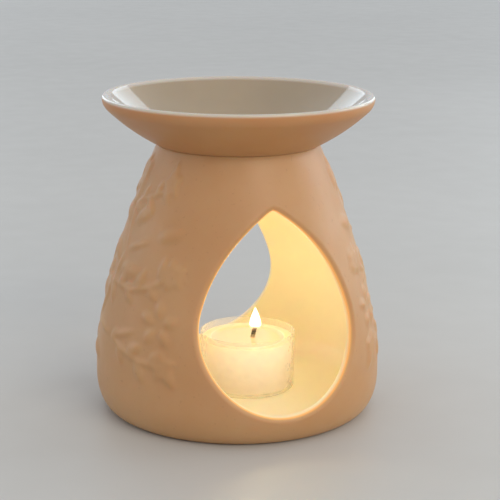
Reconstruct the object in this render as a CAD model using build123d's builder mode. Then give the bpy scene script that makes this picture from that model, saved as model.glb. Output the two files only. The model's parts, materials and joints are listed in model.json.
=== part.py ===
from build123d import *
from math import asin, cos, degrees, pi, radians, sin, tan
import os

# Burner body, a slip-cast shell, with its dish on top
overall_height = 127.1
dish_height = 19.3
belly_diameter = 115.0
base_curve_width = 7.5
base_curve_height = 14.3
neck_diameter = 64.4
body_wall = 4.0
floor_height = 6.0
floor_corner_width = 8.0
foot_ring_width = 7.0
foot_recess_depth = 2.5
foot_recess_draft = 1.5
neck_edge_radius = 0.5
neck_bore_edge_radius = 0.8

# Pulls of the side curve, as shares of its rise and of its step inwards from belly to neck
side_lower_rise_share = 0.076
side_upper_rise_share = 0.335
side_bulge_share = 0.036

# Teardrop openings, one at the front and one at the back
opening_bottom_height = 11.7
opening_crown_gap = 19.8
opening_width_share = 0.794
opening_shoulder_angle = 17.0
opening_apex_radius = 1.5

# Rounding of the openings' lips, as shares of the wall that is cut
lip_outer_share = 0.8
lip_inner_share = 0.2

# Flowering sprigs in low relief, one on each side between the openings
leaf_width = 6.4
leaf_relief = 1.0
leaf_gap = 2.2
stem_width = 2.6
stem_relief = 0.8
stem_gap = 0.6
petal_count = 5
petal_length = 7.4
petal_width = 4.6
petal_relief = 0.9
blossom_eye_width = 4.0
rod_end_reach = 1.2

# Lift-off dish for oil and water
rim_diameter = 107.4
rim_edge_height = 3.5
rim_crest_radius = 1.4
rim_lower_radius = 1.0
dish_wall = 4.0
dish_bulge = 1.1
dish_floor_thickness = 4.5
dish_corner_radius = 14.0
spigot_depth = 4.0
spigot_clearance = 0.8
spigot_edge_radius = 1.2

# Tea light: clear cup, wax, wick and wick sustainer
tealight_offset = 4.5
cup_diameter = 39.0
cup_height = 23.5
cup_wall = 0.9
cup_base_thickness = 1.2
cup_taper = 0.4
cup_foot_radius = 1.8
cup_foot_ring_width = 3.0
cup_recess_depth = 0.4
cup_rim_radius = 0.35
wax_level = 21.0
wax_clearance = 0.1
melt_pool_diameter = 31.0
melt_pool_depth = 0.8
melt_pool_bank = 2.0
wick_diameter = 2.0
wick_rise = 24.8
wick_lean = 4.0
sustainer_diameter = 12.5
sustainer_thickness = 0.4
collar_diameter = 3.4
collar_height = 3.5
collar_clearance = 0.15

# Cuts run past their faces by this much
overrun = 5.0

belly_radius = belly_diameter / 2
foot_radius = belly_radius - base_curve_width
neck_radius = neck_diameter / 2
neck_height = overall_height - dish_height
rim_radius = rim_diameter / 2
cup_radius = cup_diameter / 2

# The side leaves the belly upright and leans in towards the neck.
side_rise = neck_height - base_curve_height
side_step = belly_radius - neck_radius
side_points = (
    Vector(belly_radius, base_curve_height),
    Vector(belly_radius, base_curve_height + side_lower_rise_share * side_rise),
    Vector(
        belly_radius + side_bulge_share * side_step,
        base_curve_height + side_upper_rise_share * side_rise,
    ),
    Vector(neck_radius, neck_height),
)


def left_of(start, end):
    """Unit vector square to the line from start to end, on its left."""
    along = (end - start).normalized()
    return Vector(-along.Y, along.X)


def crossing(first, first_way, second, second_way):
    """Where the line through first meets the line through second."""
    gap = second - first
    turn = first_way.X * second_way.Y - first_way.Y * second_way.X
    share = (gap.X * second_way.Y - gap.Y * second_way.X) / turn
    return first + first_way * share


def set_in(points, depth):
    """Control points of the same curve, moved to its left by a wall of the given depth."""
    legs = list(zip(points, points[1:]))
    starts = [start + left_of(start, end) * depth for start, end in legs]
    ways = [(end - start).normalized() for start, end in legs]
    last = points[-1] + left_of(*legs[-1]) * depth
    corners = [
        crossing(starts[i], ways[i], starts[i + 1], ways[i + 1])
        for i in range(len(legs) - 1)
    ]
    return [starts[0], *corners, last]


def from_axis(edge):
    """How far the middle of an edge lies from the burner's axis."""
    middle = edge @ 0.5
    return Vector(middle.X, middle.Y).length


def neck_edges(part):
    """The edges of the neck's flat top, the bore's first."""
    top = part.faces().filter_by(GeomType.PLANE).sort_by(Axis.Z)[-1]
    return top.edges().sort_by(SortBy.LENGTH)


def opening_edges(part, place):
    """The edges round the openings: place 0 is inside the chamber, -1 on the outside."""
    cut_faces = part.faces().filter_by(
        lambda face: face.geom_type == GeomType.CYLINDER
        and face.axis_of_rotation.is_parallel(Axis.Y)
    )
    return [
        face.edges().filter_by(GeomType.LINE, reverse=True).sort_by(from_axis)[place]
        for face in cut_faces
    ]


# Burner body
chamber_points = set_in(side_points, body_wall)
chamber_radius = chamber_points[0].X
neck_bore_radius = chamber_points[-1].X
foot_inner_radius = foot_radius - foot_ring_width
opening_apex_height = neck_height - opening_crown_gap
opening_radius = opening_width_share * (opening_apex_height - opening_bottom_height) / 2
opening_centre_height = opening_bottom_height + opening_radius

# At its widest the opening cuts the round wall aslant, where the lip's edge is sharpest.
opening_slant = asin(opening_radius / belly_radius)
cut_depth = body_wall / cos(opening_slant)
lip_outer_radius = lip_outer_share * cut_depth * tan((pi / 2 - opening_slant) / 2)
lip_inner_radius = lip_inner_share * body_wall

with BuildPart() as burner_form:
    with BuildSketch(Plane.XZ):
        with BuildLine():
            base = EllipticalCenterArc(
                (foot_radius, base_curve_height),
                belly_radius - foot_radius,
                base_curve_height,
                start_angle=270,
                arc_size=90,
            )
            side = Bezier(*side_points)
            Polyline(
                side @ 1,
                (0, neck_height),
                (0, foot_recess_depth),
                (foot_inner_radius - foot_recess_draft, foot_recess_depth),
                (foot_inner_radius, 0),
                base @ 0,
            )
        make_face()
    revolve(axis=Axis.Z)

with BuildPart() as burner_body:
    add(burner_form.part)
    with BuildSketch(Plane.XZ):
        with BuildLine():
            chamber_base = EllipticalCenterArc(
                (chamber_radius - floor_corner_width, base_curve_height),
                floor_corner_width,
                base_curve_height - floor_height,
                start_angle=270,
                arc_size=90,
            )
            chamber_side = Bezier(*chamber_points)
            Polyline(
                chamber_side @ 1,
                (neck_bore_radius, neck_height),
                (0, neck_height),
                (0, floor_height),
                chamber_base @ 0,
            )
        make_face()
    revolve(axis=Axis.Z, mode=Mode.SUBTRACT)
    fillet(neck_edges(burner_body)[-1], neck_edge_radius)
    fillet(neck_edges(burner_body)[0], neck_bore_edge_radius)
    with BuildSketch(Plane.XZ) as opening:
        with BuildLine():
            bowl = CenterArc(
                (0, opening_centre_height),
                opening_radius,
                start_angle=-90,
                arc_size=90 + opening_shoulder_angle,
            )
            TangentArc(bowl @ 1, (0, opening_apex_height), tangent=bowl % 1)
            Line((0, opening_apex_height), bowl @ 0)
        make_face()
        mirror(about=Plane.YZ)
        fillet(opening.vertices().sort_by(Axis.Y)[-1], opening_apex_radius)
    extrude(amount=belly_radius + overrun, both=True, mode=Mode.SUBTRACT)
    fillet(opening_edges(burner_body, -1), lip_outer_radius)
    fillet(opening_edges(burner_body, 0), lip_inner_radius)

# Sprigs: a place on the wall is a turn in degrees from the right-hand side, towards the back,
# and a share of the way up the side curve.
stem_runs = (
    ((26, 0.06), (14, 0.24), (3, 0.42), (-3, 0.57), (4, 0.81)),
    ((14, 0.24), (-8, 0.22), (-25, 0.28)),
    ((-3, 0.57), (-24, 0.64)),
)
leaf_runs = (
    ((20, 0.15), (34, 0.31)),
    ((20, 0.15), (4, 0.09)),
    ((9, 0.33), (29, 0.40)),
    ((0, 0.50), (20, 0.60)),
    ((0, 0.50), (-20, 0.50)),
    ((2, 0.665), (22, 0.745)),
    ((-1, 0.67), (-19, 0.77)),
    ((-24, 0.64), (-43, 0.70)),
)
blossom_places = ((-36, 0.32),)


def wall_plane(turn, rise):
    """Plane on the outer wall, facing outwards with its Y up the wall."""
    spot = side @ rise
    climb = side % rise
    out = Vector(cos(radians(turn)), sin(radians(turn)), 0)
    up = Vector(0, 0, 1)
    return Plane(out * spot.X + up * spot.Y, x_dir=up.cross(out), z_dir=out * climb.Y - up * climb.X)


def beside(place, angle, distance):
    """The place at a distance from another, at an angle from the level."""
    turn, rise = place
    level = distance * cos(angle) / (side @ rise).X
    return turn + degrees(level), rise + distance * sin(angle) / side.length


def blade(start, end, width, relief, start_gap=0, end_gap=0):
    """A stretch of a bent rod that stands out of the wall from place to place, less a gap at each end."""
    whole = wall_plane(*end).origin - wall_plane(*start).origin
    shares = (start_gap / whole.length, 1 - end_gap / whole.length)
    (turn, rise), (end_turn, end_rise) = start, end
    places = [(turn + s * (end_turn - turn), rise + s * (end_rise - rise)) for s in shares]
    foot, tip = (wall_plane(*place).origin for place in places)
    wall = wall_plane(*(sum(values) / 2 for values in zip(*places)))
    along = (tip - foot - wall.z_dir * (tip - foot).dot(wall.z_dir)).normalized()
    bow = relief + (wall.origin - (foot + tip) / 2).dot(wall.z_dir)
    rod_radius = (width**2 / (4 * relief) + relief) / 2
    bend_radius = ((tip - foot).length ** 2 / (4 * bow) + bow) / 2
    bend_centre = wall.origin + wall.z_dir * (relief - bend_radius)
    half_bend = rod_end_reach * asin((tip - foot).length / 2 / bend_radius)
    end_way = wall.z_dir * cos(half_bend) - along * sin(half_bend)
    end_along = along * cos(half_bend) + wall.z_dir * sin(half_bend)
    end_centre = bend_centre + end_way * (bend_radius - rod_radius)
    with BuildPart(mode=Mode.PRIVATE) as rod:
        with BuildSketch(Plane(end_centre, x_dir=end_way, z_dir=end_along)):
            Circle(rod_radius)
        revolve(axis=Axis(bend_centre, wall.z_dir.cross(along)), revolution_arc=degrees(2 * half_bend))
        add(burner_form.part, mode=Mode.SUBTRACT)
    return rod.part.solid()


def blossom(place):
    """Petals round an open eye, the first one upright."""
    for petal in range(petal_count):
        angle = pi / 2 + 2 * pi * petal / petal_count
        foot = beside(place, angle, blossom_eye_width / 2)
        tip = beside(place, angle, blossom_eye_width / 2 + petal_length)
        yield blade(foot, tip, petal_width, petal_relief)


sprig_blades = [
    blade(start, end, stem_width, stem_relief, stem_gap, stem_gap)
    for run in stem_runs
    for start, end in zip(run, run[1:])
]
sprig_blades += [blade(start, end, leaf_width, leaf_relief, leaf_gap) for start, end in leaf_runs]
for place in blossom_places:
    sprig_blades += blossom(place)

right_sprig = Compound(sprig_blades)
left_sprig = right_sprig.mirror(Plane.YZ)

# Oil dish, resting on the neck with its spigot in the neck's bore
seat_edge = Vector(neck_radius, neck_height)
rim_edge = Vector(rim_radius, overall_height - rim_edge_height)
wall_way = (rim_edge - seat_edge).normalized()
inner_wall = seat_edge + left_of(seat_edge, rim_edge) * dish_wall
spigot_height = neck_height - spigot_depth
dish_floor_height = spigot_height + dish_floor_thickness
spigot_radius = neck_bore_radius - spigot_clearance


def on_inner_wall(height):
    """The point of the dish's inner wall at a height, before its corners are rounded."""
    return Vector(inner_wall.X + (height - inner_wall.Y) * wall_way.X / wall_way.Y, height)


with BuildPart() as oil_dish:
    with BuildSketch(Plane.XZ) as dish_section:
        rim_crest = Vector(rim_radius, overall_height)
        rim_inner = on_inner_wall(overall_height)
        dish_corner = on_inner_wall(dish_floor_height)
        spigot_edge = Vector(spigot_radius, spigot_height)
        with BuildLine():
            SagittaArc(rim_edge, seat_edge, dish_bulge)
            Polyline(rim_edge, rim_crest, rim_inner)
            SagittaArc(rim_inner, dish_corner, dish_bulge)
            Polyline(
                dish_corner,
                (0, dish_floor_height),
                (0, spigot_height),
                spigot_edge,
                (spigot_radius, neck_height),
                seat_edge,
            )
        make_face()
        for corner, radius in (
            (rim_edge, rim_lower_radius),
            (rim_crest, rim_crest_radius),
            (rim_inner, rim_crest_radius),
            (dish_corner, dish_corner_radius),
            (spigot_edge, spigot_edge_radius),
        ):
            fillet(dish_section.vertices().sort_by_distance(corner)[0], radius)
    revolve(axis=Axis.Z)

# Tea light, standing on the floor of the chamber a little to one side
tealight_axis = Axis((tealight_offset, 0, floor_height), (0, 0, 1))
tealight_section = Plane(tealight_axis.position, x_dir=(1, 0, 0), z_dir=(0, -1, 0))
tealight_base = Plane(tealight_axis.position).offset(cup_base_thickness)
cup_foot_width = cup_radius - cup_taper
cup_recess_radius = cup_foot_width - cup_foot_ring_width
cup_corner_radius = cup_foot_radius - cup_wall


def cup_inner_radius(height):
    """Radius of the cup's tapered inner wall at a height above its foot."""
    return cup_foot_width - cup_wall + cup_taper * height / cup_height


with BuildPart() as tealight_cup:
    with BuildSketch(tealight_section) as cup_section:
        foot_corner = Vector(cup_foot_width, 0)
        base_corner = Vector(cup_inner_radius(cup_base_thickness), cup_base_thickness)
        rim_outer = Vector(cup_radius, cup_height)
        rim_inner = Vector(cup_inner_radius(cup_height), cup_height)
        with BuildLine():
            Polyline(
                (0, cup_recess_depth),
                (cup_recess_radius, cup_recess_depth),
                (cup_recess_radius, 0),
                foot_corner,
                rim_outer,
                rim_inner,
                base_corner,
                (0, cup_base_thickness),
                close=True,
            )
        make_face()
        for corner, radius in (
            (foot_corner, cup_foot_radius),
            (rim_outer, cup_rim_radius),
            (rim_inner, cup_rim_radius),
            (base_corner, cup_corner_radius),
        ):
            fillet(cup_section.vertices().sort_by_distance(corner)[0], radius)
    revolve(axis=tealight_axis)

# Wick sustainer: a disc on the cup's base with a collar that grips the wick
with BuildPart() as wick_sustainer:
    with BuildSketch(tealight_base):
        Circle(sustainer_diameter / 2)
    extrude(amount=sustainer_thickness)
    with BuildSketch(tealight_base.offset(sustainer_thickness)):
        Circle(collar_diameter / 2)
        Circle(wick_diameter / 2 + collar_clearance, mode=Mode.SUBTRACT)
    extrude(amount=collar_height)

# Wick, standing on the disc and curling over at the top
wick_foot = cup_base_thickness + sustainer_thickness
wick_curl_radius = (wick_rise**2 + wick_lean**2) / (2 * wick_lean)

with BuildPart() as wick:
    with BuildLine(tealight_section) as wick_path:
        RadiusArc((0, wick_foot), (wick_lean, wick_foot + wick_rise), wick_curl_radius)
    with BuildSketch(tealight_base.offset(sustainer_thickness)):
        Circle(wick_diameter / 2)
    sweep(path=wick_path.line)

# Wax, cast in the cup round the wick and its sustainer, with a melted pool on top
with BuildPart() as tealight_wax:
    with BuildSketch(tealight_section) as wax_section:
        wax_corner = Vector(cup_inner_radius(cup_base_thickness) - wax_clearance, cup_base_thickness)
        pool_edge = melt_pool_diameter / 2
        pool_height = wax_level - melt_pool_depth
        with BuildLine():
            Polyline(
                (0, cup_base_thickness),
                wax_corner,
                (cup_inner_radius(wax_level) - wax_clearance, wax_level),
                (pool_edge, wax_level),
                (pool_edge - melt_pool_bank, pool_height),
                (0, pool_height),
                close=True,
            )
        make_face()
        fillet(wax_section.vertices().sort_by_distance(wax_corner)[0], cup_corner_radius)
    revolve(axis=tealight_axis)
    with BuildSketch(tealight_base):
        Circle(sustainer_diameter / 2 + wax_clearance)
    extrude(amount=sustainer_thickness + wax_clearance, mode=Mode.SUBTRACT)
    with BuildSketch(tealight_base):
        Circle(collar_diameter / 2 + wax_clearance)
    extrude(
        amount=sustainer_thickness + collar_height + wax_clearance, mode=Mode.SUBTRACT
    )
    with BuildSketch(tealight_base.offset(sustainer_thickness)):
        Circle(wick_diameter / 2 + wax_clearance)
    sweep(path=wick_path.line, mode=Mode.SUBTRACT)

burner_body.part.label = "burner_body"
right_sprig.label = "right_sprig"
left_sprig.label = "left_sprig"
oil_dish.part.label = "oil_dish"
tealight_cup.part.label = "tealight_cup"
tealight_wax.part.label = "tealight_wax"
wick.part.label = "wick"
wick_sustainer.part.label = "wick_sustainer"

os.makedirs("parts", exist_ok=True)
export_step(burner_body.part, "parts/burner_body.step")
export_step(right_sprig, "parts/right_sprig.step")
export_step(left_sprig, "parts/left_sprig.step")
export_step(oil_dish.part, "parts/oil_dish.step")
export_step(tealight_cup.part, "parts/tealight_cup.step")
export_step(tealight_wax.part, "parts/tealight_wax.step")
export_step(wick.part, "parts/wick.step")
export_step(wick_sustainer.part, "parts/wick_sustainer.step")
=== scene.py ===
import json
import math

import bmesh
import bpy
import numpy as np
from bpy.props import FloatProperty, FloatVectorProperty, IntProperty, PointerProperty
from bpy.types import Operator, Panel, PropertyGroup
from mathutils import Matrix, Vector

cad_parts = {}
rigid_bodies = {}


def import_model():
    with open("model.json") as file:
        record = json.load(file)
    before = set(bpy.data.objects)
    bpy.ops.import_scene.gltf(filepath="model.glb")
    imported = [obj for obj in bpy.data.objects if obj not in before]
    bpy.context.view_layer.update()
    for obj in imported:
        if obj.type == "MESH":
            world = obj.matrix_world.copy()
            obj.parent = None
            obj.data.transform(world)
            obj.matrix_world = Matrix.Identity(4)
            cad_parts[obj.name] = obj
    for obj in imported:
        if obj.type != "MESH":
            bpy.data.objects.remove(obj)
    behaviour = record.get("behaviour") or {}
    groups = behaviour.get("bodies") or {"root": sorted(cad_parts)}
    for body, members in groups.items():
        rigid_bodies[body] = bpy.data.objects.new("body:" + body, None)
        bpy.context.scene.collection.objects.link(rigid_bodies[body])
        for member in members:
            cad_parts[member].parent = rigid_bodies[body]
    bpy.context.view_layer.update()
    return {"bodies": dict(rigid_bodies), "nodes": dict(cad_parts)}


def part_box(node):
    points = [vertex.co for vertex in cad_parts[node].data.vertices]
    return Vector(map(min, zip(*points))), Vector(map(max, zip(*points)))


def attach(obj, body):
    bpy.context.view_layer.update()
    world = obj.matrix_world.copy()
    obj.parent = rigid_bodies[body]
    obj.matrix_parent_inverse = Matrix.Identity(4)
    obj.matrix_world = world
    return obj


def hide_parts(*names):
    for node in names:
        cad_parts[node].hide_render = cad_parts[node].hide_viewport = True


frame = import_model()

bl_info = {
    "name": "Oil Burner",
    "version": (1, 0, 0),
    "blender": (4, 5, 0),
    "location": "3D View > Sidebar > Oil Burner",
    "description": "Dresses the packed oil burner: moulded porcelain, a glazed dish and a lit tea light",
    "category": "Object",
}

BODY_LOW, BODY_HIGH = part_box("burner_body")
DISH_LOW, DISH_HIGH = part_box("oil_dish")
CUP_LOW, CUP_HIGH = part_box("tealight_cup")
_, WAX_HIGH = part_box("tealight_wax")
WICK_LOW, WICK_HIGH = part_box("wick")


# Settings


def length(name, description, default):
    return FloatProperty(
        name=name, description=description, default=default, min=0.0, precision=5,
        subtype="DISTANCE", unit="LENGTH",
    )


def rotation(name, description, degrees):
    return FloatProperty(
        name=name, description=description, default=math.radians(degrees), subtype="ANGLE", unit="ROTATION"
    )


def colour(name, description, red, green, blue):
    """A colour property whose default is given as 0 to 255 display values."""
    linear = [((v / 255 + 0.055) / 1.055) ** 2.4 if v > 10 else v / 255 / 12.92 for v in (red, green, blue)]
    return FloatVectorProperty(
        name=name, description=description, default=(*linear, 1.0), size=4, min=0.0, max=1.0, subtype="COLOR"
    )


class BurnerBodySizes(PropertyGroup):
    belly_radius: length("Belly radius", "Widest radius of the body", BODY_HIGH.x)
    base_width: length("Base curve width", "How far the foot is set in from the belly", 0.0075)
    base_height: length("Base curve height", "Height at which the body is widest", 0.0143)
    neck_radius: length("Neck radius", "Radius of the body at its neck", 0.0322)
    neck_height: length("Neck height", "Height of the neck's flat top", BODY_HIGH.z)
    wall: length("Wall", "Thickness of the moulded wall", 0.004)
    floor_height: length("Floor height", "Height of the chamber's floor", 0.006)
    floor_corner: length("Floor corner", "Width of the rounded corner between floor and wall", 0.008)
    foot_ring: length("Foot ring", "Width of the ring that the body stands on", 0.007)
    foot_recess: length("Foot recess", "Depth of the hollow inside the foot ring", 0.0025)
    opening_bottom: length("Opening bottom", "Height of the lowest point of the openings", 0.0117)
    opening_apex: length("Opening apex", "Height of the openings' points", 0.088)
    opening_radius: length("Opening radius", "Radius of the openings' round part", 0.03029)
    apex_radius: length("Apex radius", "Rounding of the openings' points", 0.0015)
    lip_radius: length("Lip radius", "Rounding of the openings' outer lips", 0.0021)
    bore_lip_radius: length("Inner lip radius", "Rounding of the openings' inner lips", 0.0008)


class SprigSizes(PropertyGroup):
    relief: length("Relief height", "How far the small leaves and blossoms stand out of the wall", 0.001)
    leaf_length: length("Leaf length", "Length of a small leaf", 0.0098)
    leaf_width: length("Leaf width", "Width of a small leaf", 0.0048)
    leaf_spacing: length("Leaf spacing", "Distance between small leaves along a twig", 0.0058)
    petal_length: length("Petal length", "Length of a small blossom's petal", 0.0068)
    petal_width: length("Petal width", "Width of a small blossom's petal", 0.0058)
    twig_radius: length("Twig radius", "Half the width of a twig", 0.0009)
    softness: IntProperty(
        name="Softness", description="How far the casting softens the relief", default=2, min=0, max=8
    )
    seed: IntProperty(name="Seed", description="Seed of the leaves' small differences", default=7)


class DishSizes(PropertyGroup):
    rim_radius: length("Rim radius", "Outer radius of the dish's rim", DISH_HIGH.x)
    rim_top: length("Rim top", "Height of the rim's crest", DISH_HIGH.z)
    rim_edge: length("Rim edge", "Height of the rim's upright edge", 0.0035)
    wall: length("Wall", "Thickness of the dish's wall", 0.004)
    bulge: length("Bulge", "How far the wall bows between seat and rim", 0.0011)
    spigot_bottom: length("Spigot bottom", "Height of the dish's underside", DISH_LOW.z)
    spigot_radius: length("Spigot radius", "Radius of the part that drops into the neck", 0.02771)
    floor_thickness: length("Floor thickness", "Thickness of the dish's floor", 0.0045)
    corner_reach: length("Corner reach", "How far the rounding between floor and wall reaches", 0.0046)


class TealightSizes(PropertyGroup):
    cup_radius: length("Cup radius", "Outer radius of the clear cup's rim", (CUP_HIGH.x - CUP_LOW.x) / 2)
    cup_wall: length("Cup wall", "Thickness of the clear cup's wall", 0.0009)
    cup_taper: length("Cup taper", "How much narrower the cup is at its foot", 0.0004)
    wax_level: length("Wax level", "Height of the wax's upper edge", WAX_HIGH.z)
    pool_radius: length("Pool radius", "Radius of the melted pool", 0.0155)
    pool_depth: length("Pool depth", "Depth of the melted pool", 0.0008)
    strand_radius: length("Strand radius", "Radius of one strand of the wick", 0.00042)
    flame_height: length("Flame height", "Height of the flame", 0.0108)
    flame_radius: length("Flame radius", "Largest radius of the flame", 0.0021)
    lamp_height: length("Lamp height", "Height of the middle of the flame's light", 0.052)
    lamp_radius: length("Lamp radius", "Radius from which the flame's light comes", 0.009)
    flame_power: FloatProperty(
        name="Flame power", description="Light given by the flame", default=0.027, min=0.0, unit="POWER"
    )


class BurnerFinish(PropertyGroup):
    bisque: colour("Bisque", "Main tone of the unglazed porcelain", 200, 156, 110)
    bisque_shade: colour("Bisque shade", "Warmer tone in the porcelain's clouding", 195, 147, 99)
    # The dish's bare underside is painted darker and warmer than the body's porcelain: painted shade under
    # the rim, warmed as painted candle glow.
    underside_shade_and_glow: colour("Dish shade", "Warmer tone in the clouding of the dish's bare underside", 192, 139, 90)
    # The chamber is the same porcelain as the outside: its paler tone is painted light, for the candle's
    # light inside.
    chamber: colour("Chamber", "Tone of the glazed chamber", 252, 238, 206)
    # The lips' warmer tone is painted glow, for the candle's light shining through the thin edge.
    lip: colour("Lip", "Tone of the openings' lips, where the chamber shines through", 222, 172, 104)
    glaze: colour("Glaze", "Tone of the glazed dish", 176, 156, 128)
    # The rim's pale tone is partly the thin glaze's own, partly a painted highlight for the light along the
    # rim.
    rim: colour("Rim", "Paler tone of the thin glaze on the dish's edge", 206, 200, 190)
    wax: colour("Wax", "Tone of the wax", 226, 210, 176)
    cup: colour("Cup", "Tint of the clear cup", 250, 240, 220)
    cotton: colour("Cotton", "Tone of the unburnt wick", 226, 206, 166)
    tin: colour("Tin", "Tone of the wick sustainer", 190, 190, 186)
    flame: colour("Flame", "Colour of the flame's light", 255, 233, 180)
    floor: colour("Floor", "Tone of the floor", 198, 196, 193)


class StageSettings(PropertyGroup):
    camera_azimuth: rotation("Camera azimuth", "Where the camera stands round the burner", -20.0)
    camera_roll: rotation("Camera roll", "Turn of the camera about its own view", 0.3)
    camera_pitch: rotation("Camera pitch", "How far the camera looks down", 14.14)
    camera_distance: length("Camera distance", "Level distance from the burner's axis to the camera", 0.585)
    camera_height: length("Camera height", "Height of the camera above the floor", 0.211)


class BurnerSettings(PropertyGroup):
    body: PointerProperty(type=BurnerBodySizes)
    sprig: PointerProperty(type=SprigSizes)
    dish: PointerProperty(type=DishSizes)
    tealight: PointerProperty(type=TealightSizes)
    finish: PointerProperty(type=BurnerFinish)
    stage: PointerProperty(type=StageSettings)


# Node trees


class Graph:
    """Adds nodes to a shader or geometry tree and links them."""

    def __init__(self, tree):
        self.tree = tree

    def node(self, kind, inputs=None, **settings):
        made = self.tree.nodes.new(kind)
        for name, value in settings.items():
            setattr(made, name, value)
        self.feed_all(made, inputs or {})
        return made

    def feed(self, socket, value):
        if isinstance(value, bpy.types.NodeSocket):
            self.tree.links.new(value, socket)
        else:
            socket.default_value = value

    def feed_all(self, node, values):
        for key, value in values.items():
            self.feed(node.inputs[key], value)

    def math(self, operation, *values):
        made = self.node("ShaderNodeMath", dict(enumerate(values)), operation=operation)
        return made.outputs[0]

    def product(self, first, *others):
        for value in others:
            first = self.math("MULTIPLY", first, value)
        return first

    def vector_math(self, operation, *values):
        made = self.node("ShaderNodeVectorMath", dict(enumerate(values)), operation=operation)
        return made.outputs["Value" if operation == "LENGTH" else "Vector"]

    def combine(self, x, y, z):
        return self.node("ShaderNodeCombineXYZ", {0: x, 1: y, 2: z}).outputs[0]

    def separate(self, vector):
        return self.node("ShaderNodeSeparateXYZ", {0: vector}).outputs

    def remap(self, value, low, high, new_low=0.0, new_high=1.0, smooth=False):
        made = self.node(
            "ShaderNodeMapRange",
            {"Value": value, "From Min": low, "From Max": high, "To Min": new_low, "To Max": new_high},
            interpolation_type="SMOOTHSTEP" if smooth else "LINEAR",
        )
        return made.outputs["Result"]

    def curve(self, value, *points):
        """A drawn curve from 0 to 1 through the given points."""
        made = self.node("ShaderNodeFloatCurve", {"Value": value})
        line = made.mapping.curves[0]
        line.points[0].location, line.points[1].location = points[0], points[-1]
        for point in points[1:-1]:
            line.points.new(*point)
        made.mapping.update()
        return made.outputs[0]

    def chance(self, low, high, seed):
        """A seeded random share for each instance."""
        limits = {"Min": low, "Max": high, "Seed": seed}
        return self.node("FunctionNodeRandomValue", limits, data_type="FLOAT").outputs["Value"]

    def turn_flat(self, angle):
        """A rotation on the flat, about the upright axis."""
        return self.node("FunctionNodeEulerToRotation", {0: self.combine(0.0, 0.0, angle)}).outputs[0]

    def join(self, *parts):
        joined = self.node("GeometryNodeJoinGeometry")
        for part in parts:
            self.feed(joined.inputs[0], part)
        return joined.outputs[0]

    def height_over(self, target, place, upwards, reach):
        """How far target stands over each place, seen from above it."""
        lift = self.vector_math("MULTIPLY", upwards, (reach, reach, reach))
        ray = self.node(
            "GeometryNodeRaycast",
            {
                "Target Geometry": target,
                "Source Position": self.vector_math("ADD", place, lift),
                "Ray Direction": self.vector_math("MULTIPLY", upwards, (-1.0, -1.0, -1.0)),
                "Ray Length": reach,
            },
        )
        height = self.math("SUBTRACT", reach, ray.outputs["Hit Distance"])
        return self.product(height, ray.outputs["Is Hit"])


def geometry_tree(name, *inputs):
    """A Geometry Nodes tree with a Geometry input and output and the given named inputs."""
    tree = bpy.data.node_groups.new(name, "GeometryNodeTree")
    tree.interface.new_socket("Geometry", in_out="OUTPUT", socket_type="NodeSocketGeometry")
    graph = Graph(tree)
    for socket, kind in (("Geometry", "NodeSocketGeometry"), *inputs):
        tree.interface.new_socket(socket, in_out="INPUT", socket_type=kind)
    return graph, graph.node("NodeGroupInput").outputs, graph.node("NodeGroupOutput").inputs


def finish_tree(graph, geometry, material, output):
    """Ends a tree: instances made real, and the piece's material on them."""
    real = graph.node("GeometryNodeRealizeInstances", {"Geometry": geometry}).outputs[0]
    painted = graph.node("GeometryNodeSetMaterial", {"Geometry": real, "Material": material}).outputs[0]
    graph.feed(output["Geometry"], painted)


def grow(obj, graph, values):
    """Runs a tree on obj with the given inputs and keeps the outcome as its plain mesh."""
    modifier = obj.modifiers.new(graph.tree.name, "NODES")
    modifier.node_group = graph.tree
    for item in graph.tree.interface.items_tree:
        if item.item_type == "SOCKET" and item.in_out == "INPUT" and item.name in values:
            modifier[item.identifier] = values[item.name]
    depsgraph = bpy.context.evaluated_depsgraph_get()
    start = obj.data
    mesh = bpy.data.meshes.new_from_object(
        obj.evaluated_get(depsgraph), preserve_all_data_layers=True, depsgraph=depsgraph
    )
    obj.modifiers.remove(modifier)
    obj.data = mesh
    bpy.data.meshes.remove(start)
    mesh.name = obj.name


def new_piece(name, points, edges=(), faces=()):
    mesh = bpy.data.meshes.new(name)
    mesh.from_pydata([tuple(p) for p in points], edges, faces)
    obj = bpy.data.objects.new(name, mesh)
    bpy.context.scene.collection.objects.link(obj)
    return obj


def face_outwards(obj):
    work = bmesh.new()
    work.from_mesh(obj.data)
    bmesh.ops.recalc_face_normals(work, faces=work.faces)
    work.to_mesh(obj.data)
    work.free()


def seat_piece(obj, body, slot, *nodes):
    """Puts a finished piece on its body, in place of the CAD nodes that it stands for."""
    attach(obj, body)
    if nodes:
        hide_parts(*nodes)


# Profiles

NORMAL_REACH_SHARE = 1 / 400


class Profile:
    """A section line as (radius, height) points, read by the length along it."""

    def __init__(self, points):
        self.points = np.array(points, float)
        steps = np.linalg.norm(np.diff(self.points, axis=0), axis=1)
        self.lengths = np.concatenate([[0.0], np.cumsum(steps)])
        self.total = self.lengths[-1]

    def at(self, along):
        radius = np.interp(along, self.lengths, self.points[:, 0])
        height = np.interp(along, self.lengths, self.points[:, 1])
        return radius, height

    def along_at_height(self, height):
        return np.interp(height, self.points[:, 1], self.lengths)

    def normal(self, along):
        """Radial and upward parts of the normal on the outer side."""
        reach = self.total * NORMAL_REACH_SHARE
        r0, z0 = self.at(np.maximum(along - reach, 0.0))
        r1, z1 = self.at(np.minimum(along + reach, self.total))
        size = np.hypot(r1 - r0, z1 - z0)
        return (z1 - z0) / size, (r0 - r1) / size


def bezier(points, steps):
    t = np.linspace(0.0, 1.0, steps + 1)[:, None]
    a, b, c, d = (np.array(p, float) for p in points)
    return (1 - t) ** 3 * a + 3 * (1 - t) ** 2 * t * b + 3 * (1 - t) * t**2 * c + t**3 * d


def corner_ellipse(centre, width, height, steps):
    """Quarter of an ellipse, from below its centre to beside it."""
    t = np.linspace(0.0, math.pi / 2, steps + 1)
    return np.column_stack([centre[0] + width * np.sin(t), centre[1] - height * np.cos(t)])


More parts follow.
